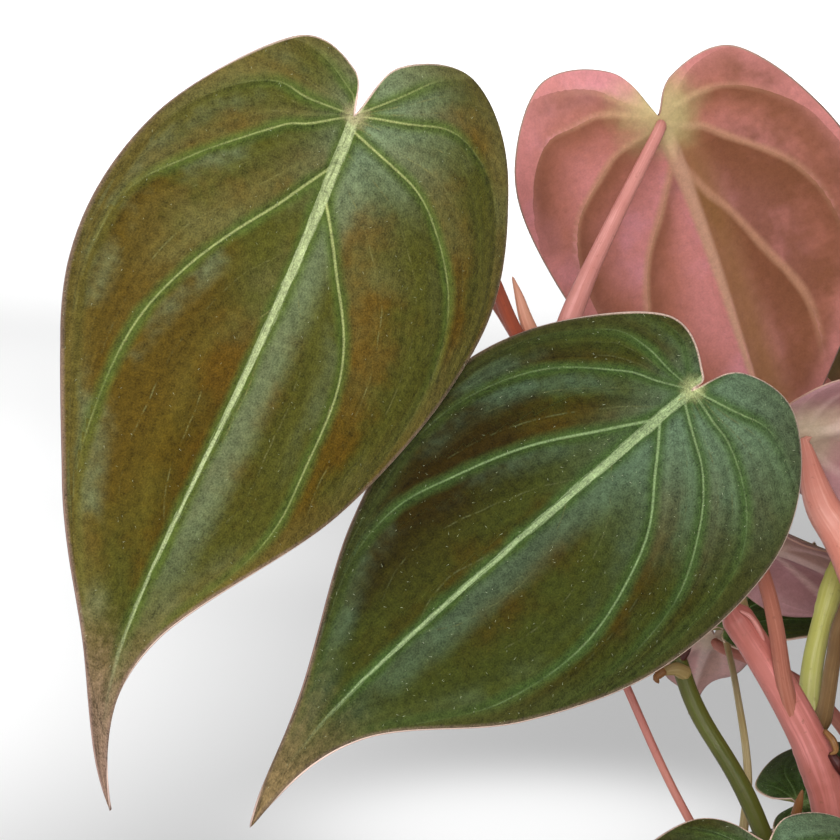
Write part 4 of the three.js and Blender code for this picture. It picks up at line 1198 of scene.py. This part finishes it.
hair = pale_hair()
hair_total = 0
for leaf in LEAVES:
    ground = make_object(leaf["name"] + "_ground", bpy.data.objects[leaf["name"] + "_blade"].data.copy())
    hairs = run_tree(ground, hairs_on, leaf["name"] + "_hairs", {
        "Per square metre": MORE_HAIRS.get(leaf["name"], USUAL_HAIRS), "Shortest": 0.12 * MM,
        "Longest": 0.5 * MM, "Thickness": 0.035 * MM, "Seed": leaf["seed"] + 40, "Hair": hair})
    keep_piece(hairs, leaf["name"])
    hair_total += count_triangles(hairs.data)
print("Hairs:", hair_total, "triangles")

# %% [markdown]
# ## The clay pot
# A plain terracotta pot, thrown or pressed and fired without glaze, with a banded rim. Its shape is a
# profile turned about the axis, so the profile is written as corners that are then rounded.

# %% Turn the pot
POT_CORNERS = [[6, 0], [42, 0], [57.5, 84], [61, 85], [62, 105], [56, 105], [37, 5], [6, 5]]
POT_ROUNDING, POT_STEP, POT_SIDES = 1.4, 3, 144


def turned(name, profile, sides):
    """A closed profile of radii and heights in millimetres, turned about the vertical axis."""
    angles = np.linspace(0, 2 * np.pi, sides, endpoint=False)
    ring = np.array(profile, float)
    points = np.stack([np.outer(np.cos(angles), ring[:, 0]), np.outer(np.sin(angles), ring[:, 0]),
                       np.outer(np.ones(sides), ring[:, 1])], -1)
    n = len(ring)
    faces = [(s * n + k, ((s + 1) % sides) * n + k, ((s + 1) % sides) * n + (k + 1) % n, s * n + (k + 1) % n)
             for s in range(sides) for k in range(n)]
    return make_mesh(name, points.reshape(-1, 3), [], faces)


def rounded(corners, radius, steps=4):
    """Rounds every corner of a closed profile."""
    corners = np.array(corners, float)
    result = []
    for before, corner, after in zip(np.roll(corners, 1, 0), corners, np.roll(corners, -1, 0)):
        a, b = before - corner, after - corner
        reach = min(radius, 0.45 * np.linalg.norm(a), 0.45 * np.linalg.norm(b))
        start, end = corner + a / np.linalg.norm(a) * reach, corner + b / np.linalg.norm(b) * reach
        for t in np.linspace(0, 1, steps + 1):
            result.append((1 - t) ** 2 * start + 2 * t * (1 - t) * corner + t ** 2 * end)
    return result


def split_long(profile, longest):
    """Adds points to a closed profile so that no step is much longer than longest."""
    result = []
    for a, b in zip(profile, list(profile[1:]) + [profile[0]]):
        steps = max(1, int(np.linalg.norm(np.array(b) - a) / longest))
        result += [np.array(a) + (np.array(b) - a) * k / steps for k in range(steps)]
    return result


pot_mesh = turned("clay_pot", split_long(rounded(POT_CORNERS, POT_ROUNDING), POT_STEP), POT_SIDES)
print("Pot:", count_triangles(pot_mesh), "triangles")

# %% Terracotta
TURNING_LINES = 1.1 * MM


def terracotta(name):
    """Fired clay without glaze: dull, dusty, with a salt bloom low down and fine pits."""
    material, tree = start_material(name)
    spot = add(tree, "ShaderNodeTexCoord").outputs["Object"]
    height = add(tree, "ShaderNodeSeparateXYZ", {"Vector": spot}).outputs["Z"]
    read = {"height": height}
    # The pits are where grog lies in the clay, 0.3 to 0.8 mm wide
    for noise, scale, detail, rough in (
            ("clouds", 22.0, 5.0, 0.5), ("dust", 9.0, 6.0, 0.65), ("pits", 900.0, 3.0, 0.5)):
        read[noise] = add(tree, "ShaderNodeTexNoise", {
            "Vector": spot, "Scale": scale, "Detail": detail, "Roughness": rough})
    lines = add(tree, "ShaderNodeMath", {0: height, 1: 2 * math.pi / TURNING_LINES}, operation="MULTIPLY")
    lines = add(tree, "ShaderNodeMath", {0: lines}, operation="SINE")
    colour = add(tree, "ShaderNodeValToRGB", {"Fac": read["clouds"]},
                 stops=[(0.3, "#a85f3c"), (0.5, "#b8704a"), (0.7, "#c37f58")])
    colour = brush(tree, colour, read, {"bloom": "#d6bca6", "pit": "#8a4a30"}, [
        ("bloom", ("dust", 0.66, 0.45, 0.2)),
        ("bloom", ("dust", 0.66, 0.45), ("height", 0.0, 0.06, 0.8)),
        ("pit", ("pits", 0.34, 0.42, 0.5))])
    relief = add(tree, "ShaderNodeMath", {0: lines, 1: 0.12, 2: read["pits"]}, operation="MULTIPLY_ADD")
    end_material(tree, colour, ragged(tree, 0.87, read["pits"], 0.15), relief, 0.3, 0.5)
    return material


pot_mesh.materials.append(terracotta("unglazed terracotta"))
keep_piece(make_object("clay_pot", pot_mesh), "pot")
print("Terracotta ready")

# %% [markdown]
# ## The potting mix
# Peat and bark: a dark lumpy filling, with crumbs lying on it. The filling is turned like the pot, and
# its top is pushed up and down. The crumbs repeat by the hundred, so Geometry Nodes scatter them.

# %% Filling
SOIL_WIDE, SOIL_LOW_WIDE = 54.0, 36.9
SOIL_TOP, SOIL_BOTTOM = 95.0, 5.4
WALL_GAP = 0.35
SOIL_SIDES, SOIL_RINGS = 120, 46


def soil_height(x, y):
    """Lumps and crumbs on the top, dying out towards the pot's wall."""
    level = 1 - np.minimum(np.hypot(x, y) / SOIL_WIDE, 1) ** 4
    lumps = np.sin(0.31 * x + 1.3) + np.sin(0.27 * y - 0.6) + 0.7 * np.sin(0.45 * (x + y))
    fine = 0.35 * np.sin(1.9 * x + 0.7 * y) * np.sin(1.6 * y - 0.5 * x)
    return level * (1.2 * lumps + fine)


def build_soil():
    wide = SOIL_WIDE - WALL_GAP
    angles = np.linspace(0, 2 * np.pi, SOIL_SIDES, endpoint=False)
    profile = [(SOIL_LOW_WIDE, SOIL_BOTTOM), (wide, SOIL_TOP)]
    profile += [(wide * (1 - s), SOIL_TOP) for s in np.linspace(0, 1, SOIL_RINGS)[1:-1]]
    points = np.array([(r * math.cos(a), r * math.sin(a), z) for r, z in profile for a in angles])
    top = points[:, 2] > SOIL_BOTTOM
    points[top, 2] += soil_height(points[top, 0], points[top, 1])
    centre_top, centre_low = len(points), len(points) + 1
    points = np.vstack([points, [0, 0, SOIL_TOP + soil_height(0.0, 0.0)], [0, 0, SOIL_BOTTOM]])
    inmost = (len(profile) - 1) * SOIL_SIDES
    faces = []
    for s in range(SOIL_SIDES):
        n = (s + 1) % SOIL_SIDES
        faces += [(centre_low, n, s), (centre_top, inmost + s, inmost + n)]
        faces += [(k * SOIL_SIDES + s, k * SOIL_SIDES + n, (k + 1) * SOIL_SIDES + n, (k + 1) * SOIL_SIDES + s)
                  for k in range(len(profile) - 1)]
    return make_mesh("soil_filling", points, [], faces)


def peat(name, dark, mid, pale):
    """Dry peat and bark: matt, with fibres and lighter crumbs."""
    material, tree = start_material(name)
    spot = add(tree, "ShaderNodeTexCoord").outputs["Object"]
    crumbs = add(tree, "ShaderNodeTexVoronoi", {"Vector": spot, "Scale": 450.0})
    clouds = add(tree, "ShaderNodeTexNoise", {
        "Vector": spot, "Scale": 160.0, "Detail": 6.0, "Roughness": 0.7})
    colour = add(tree, "ShaderNodeValToRGB", {"Fac": clouds}, stops=[(0.3, dark), (0.52, mid), (0.75, pale)])
    height = ragged(tree, crumbs.outputs["Distance"], clouds, 1.0)
    end_material(tree, colour, ragged(tree, 0.93, clouds, 0.1), height, 1.2, 0.9,
                 {"Specular IOR Level": 0.25})
    return material


filling_mix = peat("damp peat", "#1c1410", "#33261d", "#5a4433")
soil_mesh = build_soil()
soil_mesh.materials.append(filling_mix)
keep_piece(make_object("soil_filling", soil_mesh), "soil")
print("Soil:", count_triangles(soil_mesh), "triangles")

# %% Crumbs scattered over the filling
GROUND_LOWEST, GROUND_WIDE = 90 * MM, 51 * MM


def crumb_tree():
    tree, given = start_tree("crumbs on soil", "Crumbs",
                             "Ground Geometry, Per square metre Float, Smallest Float, Largest Float, "
                             "Seed Int, Stuff Material")
    spread = add(tree, "GeometryNodeDistributePointsOnFaces", {
        "Mesh": given["Ground"], "Density": given["Per square metre"], "Seed": given["Seed"]})
    lump = add(tree, "GeometryNodeMeshIcoSphere", {"Radius": 1.0, "Subdivisions": 1})
    turn = add(tree, "FunctionNodeRandomValue", {0: (0, 0, 0), 1: (FULL_TURN,) * 3, "Seed": given["Seed"]},
               data_type="FLOAT_VECTOR")
    turn = add(tree, "FunctionNodeEulerToRotation", {"Euler": turn})
    small, large = (add(tree, "ShaderNodeCombineXYZ", {axis: given[size] for axis in "XYZ"})
                    for size in ("Smallest", "Largest"))
    size = add(tree, "FunctionNodeRandomValue", {0: small, 1: large, "Seed": 7}, data_type="FLOAT_VECTOR")
    copies = add(tree, "GeometryNodeInstanceOnPoints", {
        "Points": spread.outputs["Points"], "Instance": lump.outputs["Mesh"], "Rotation": turn,
        "Scale": size})
    return end_tree(tree, copies, given["Stuff"])


def soil_top_copy(name):
    """The upward faces of the filling, inside the pot's wall, as the ground for the crumbs."""
    keep = [p for p in soil_mesh.polygons if p.normal.z > 0.5 and p.center.z > GROUND_LOWEST
            and math.hypot(p.center.x, p.center.y) < GROUND_WIDE]
    used = sorted({i for p in keep for i in p.vertices})
    index = {old: new for new, old in enumerate(used)}
    mesh = bpy.data.meshes.new(name)
    mesh.from_pydata([soil_mesh.vertices[i].co.copy() for i in used], [],
                     [[index[i] for i in p.vertices] for p in keep])
    return make_object(name, mesh)


crumbs = crumb_tree()
bark = peat("pine bark chips", "#3a261a", "#5d4029", "#8a6a48")
perlite = peat("perlite", "#a9a49a", "#cfcac0", "#e6e2da")
for name, many, least, most, seed, stuff in (
        ("peat_crumbs", 180000.0, 0.5, 1.5, 3, filling_mix), ("bark_chips", 26000.0, 1.0, 2.4, 11, bark),
        ("perlite_grains", 9000.0, 0.5, 1.1, 23, perlite)):
    made = run_tree(soil_top_copy(name + "_ground"), crumbs, name, {
        "Per square metre": many, "Smallest": least * MM, "Largest": most * MM, "Seed": seed, "Stuff": stuff})
    keep_piece(made, "soil")
    print(name, count_triangles(made.data), "triangles")

# %% [markdown]
# ## Floor and light
# The photo is taken on white, with soft light from the front and a little from above. A broad lamp
# beside the camera and a small one overhead shape the leaves, and a white world fills the shadows. The
# photo's ground is bright behind the plant and grey below the leaves. The floor would come out evenly
# grey, so soft-edged spots light the parts of it that the photo shows bright.

# %% Floor, lamps and world
FLOOR_HALF = 6
SUBJECT = (-0.05, 0, 0.19)


def build_floor():
    mesh = bpy.data.meshes.new("floor")
    corners = [(-1, -1), (1, -1), (1, 1), (-1, 1)]
    mesh.from_pydata([(x * FLOOR_HALF, y * FLOOR_HALF, 0) for x, y in corners], [], [(0, 1, 2, 3)])
    material, tree = start_material("white paper")
    spot = add(tree, "ShaderNodeTexCoord").outputs["Object"]
    fibres = add(tree, "ShaderNodeTexNoise", {"Vector": spot, "Scale": 600.0, "Detail": 2.0})
    end_material(tree, paint("#f4f4f4"), ragged(tree, 0.92, fibres, 0.05))
    mesh.materials.append(material)
    return make_object("floor", mesh)


def make_lamp(name, kind, place, aim, watts, **settings):
    light = bpy.data.lights.new(name, kind)
    light.energy = watts
    for setting, value in settings.items():
        setattr(light, setting, value)
    make_aimed(name, light, place, Vector(aim) - Vector(place))


build_floor()
make_lamp("key", "AREA", (-0.12, -1.45, 0.72), SUBJECT, 18.2, size=0.8)
make_lamp("top", "AREA", (-0.5, 0.1, 1.5), SUBJECT, 3.5, size=0.7)
# Each spot's place in metres, the floor point it lights, its cone in degrees, watts and softness
for name, place, (x, y), cone, watts, soft in (
        ("far floor", (-0.05, 1.6, 2.2), (-0.05, 1.6), 40, 260, 0.2),
        ("left floor", (-0.5, 0.75, 2.2), (-0.46, 0.66), 21.5, 220, 0.03),
        ("back floor", (-0.11, 0.8, 1.2), (-0.11, 0.8), 10.5, 7, 0.02),
        ("corner floor", (-0.24, 0.92, 1.2), (-0.24, 0.92), 13.3, 15, 0.02),
        ("front floor", (-0.06, 0.48, 1.2), (-0.06, 0.485), 6.4, 31, 0.02)):
    make_lamp(name, "SPOT", place, (x, y, 0), watts, spot_size=math.radians(cone), spot_blend=1.0,
              shadow_soft_size=soft)
world = bpy.data.worlds.new("white room")
world.use_nodes = True
background = world.node_tree.nodes["Background"].inputs
background["Color"].default_value = (1, 1, 1, 1)
background["Strength"].default_value = 0.35
bpy.context.scene.world = world
bpy.context.scene.view_settings.view_transform = "Standard"
print("Lamps and floor ready")

# %% Sizes and finish
print("Pieces:", len(pieces), "with", sum(count_triangles(p.data) for p in pieces), "triangles")
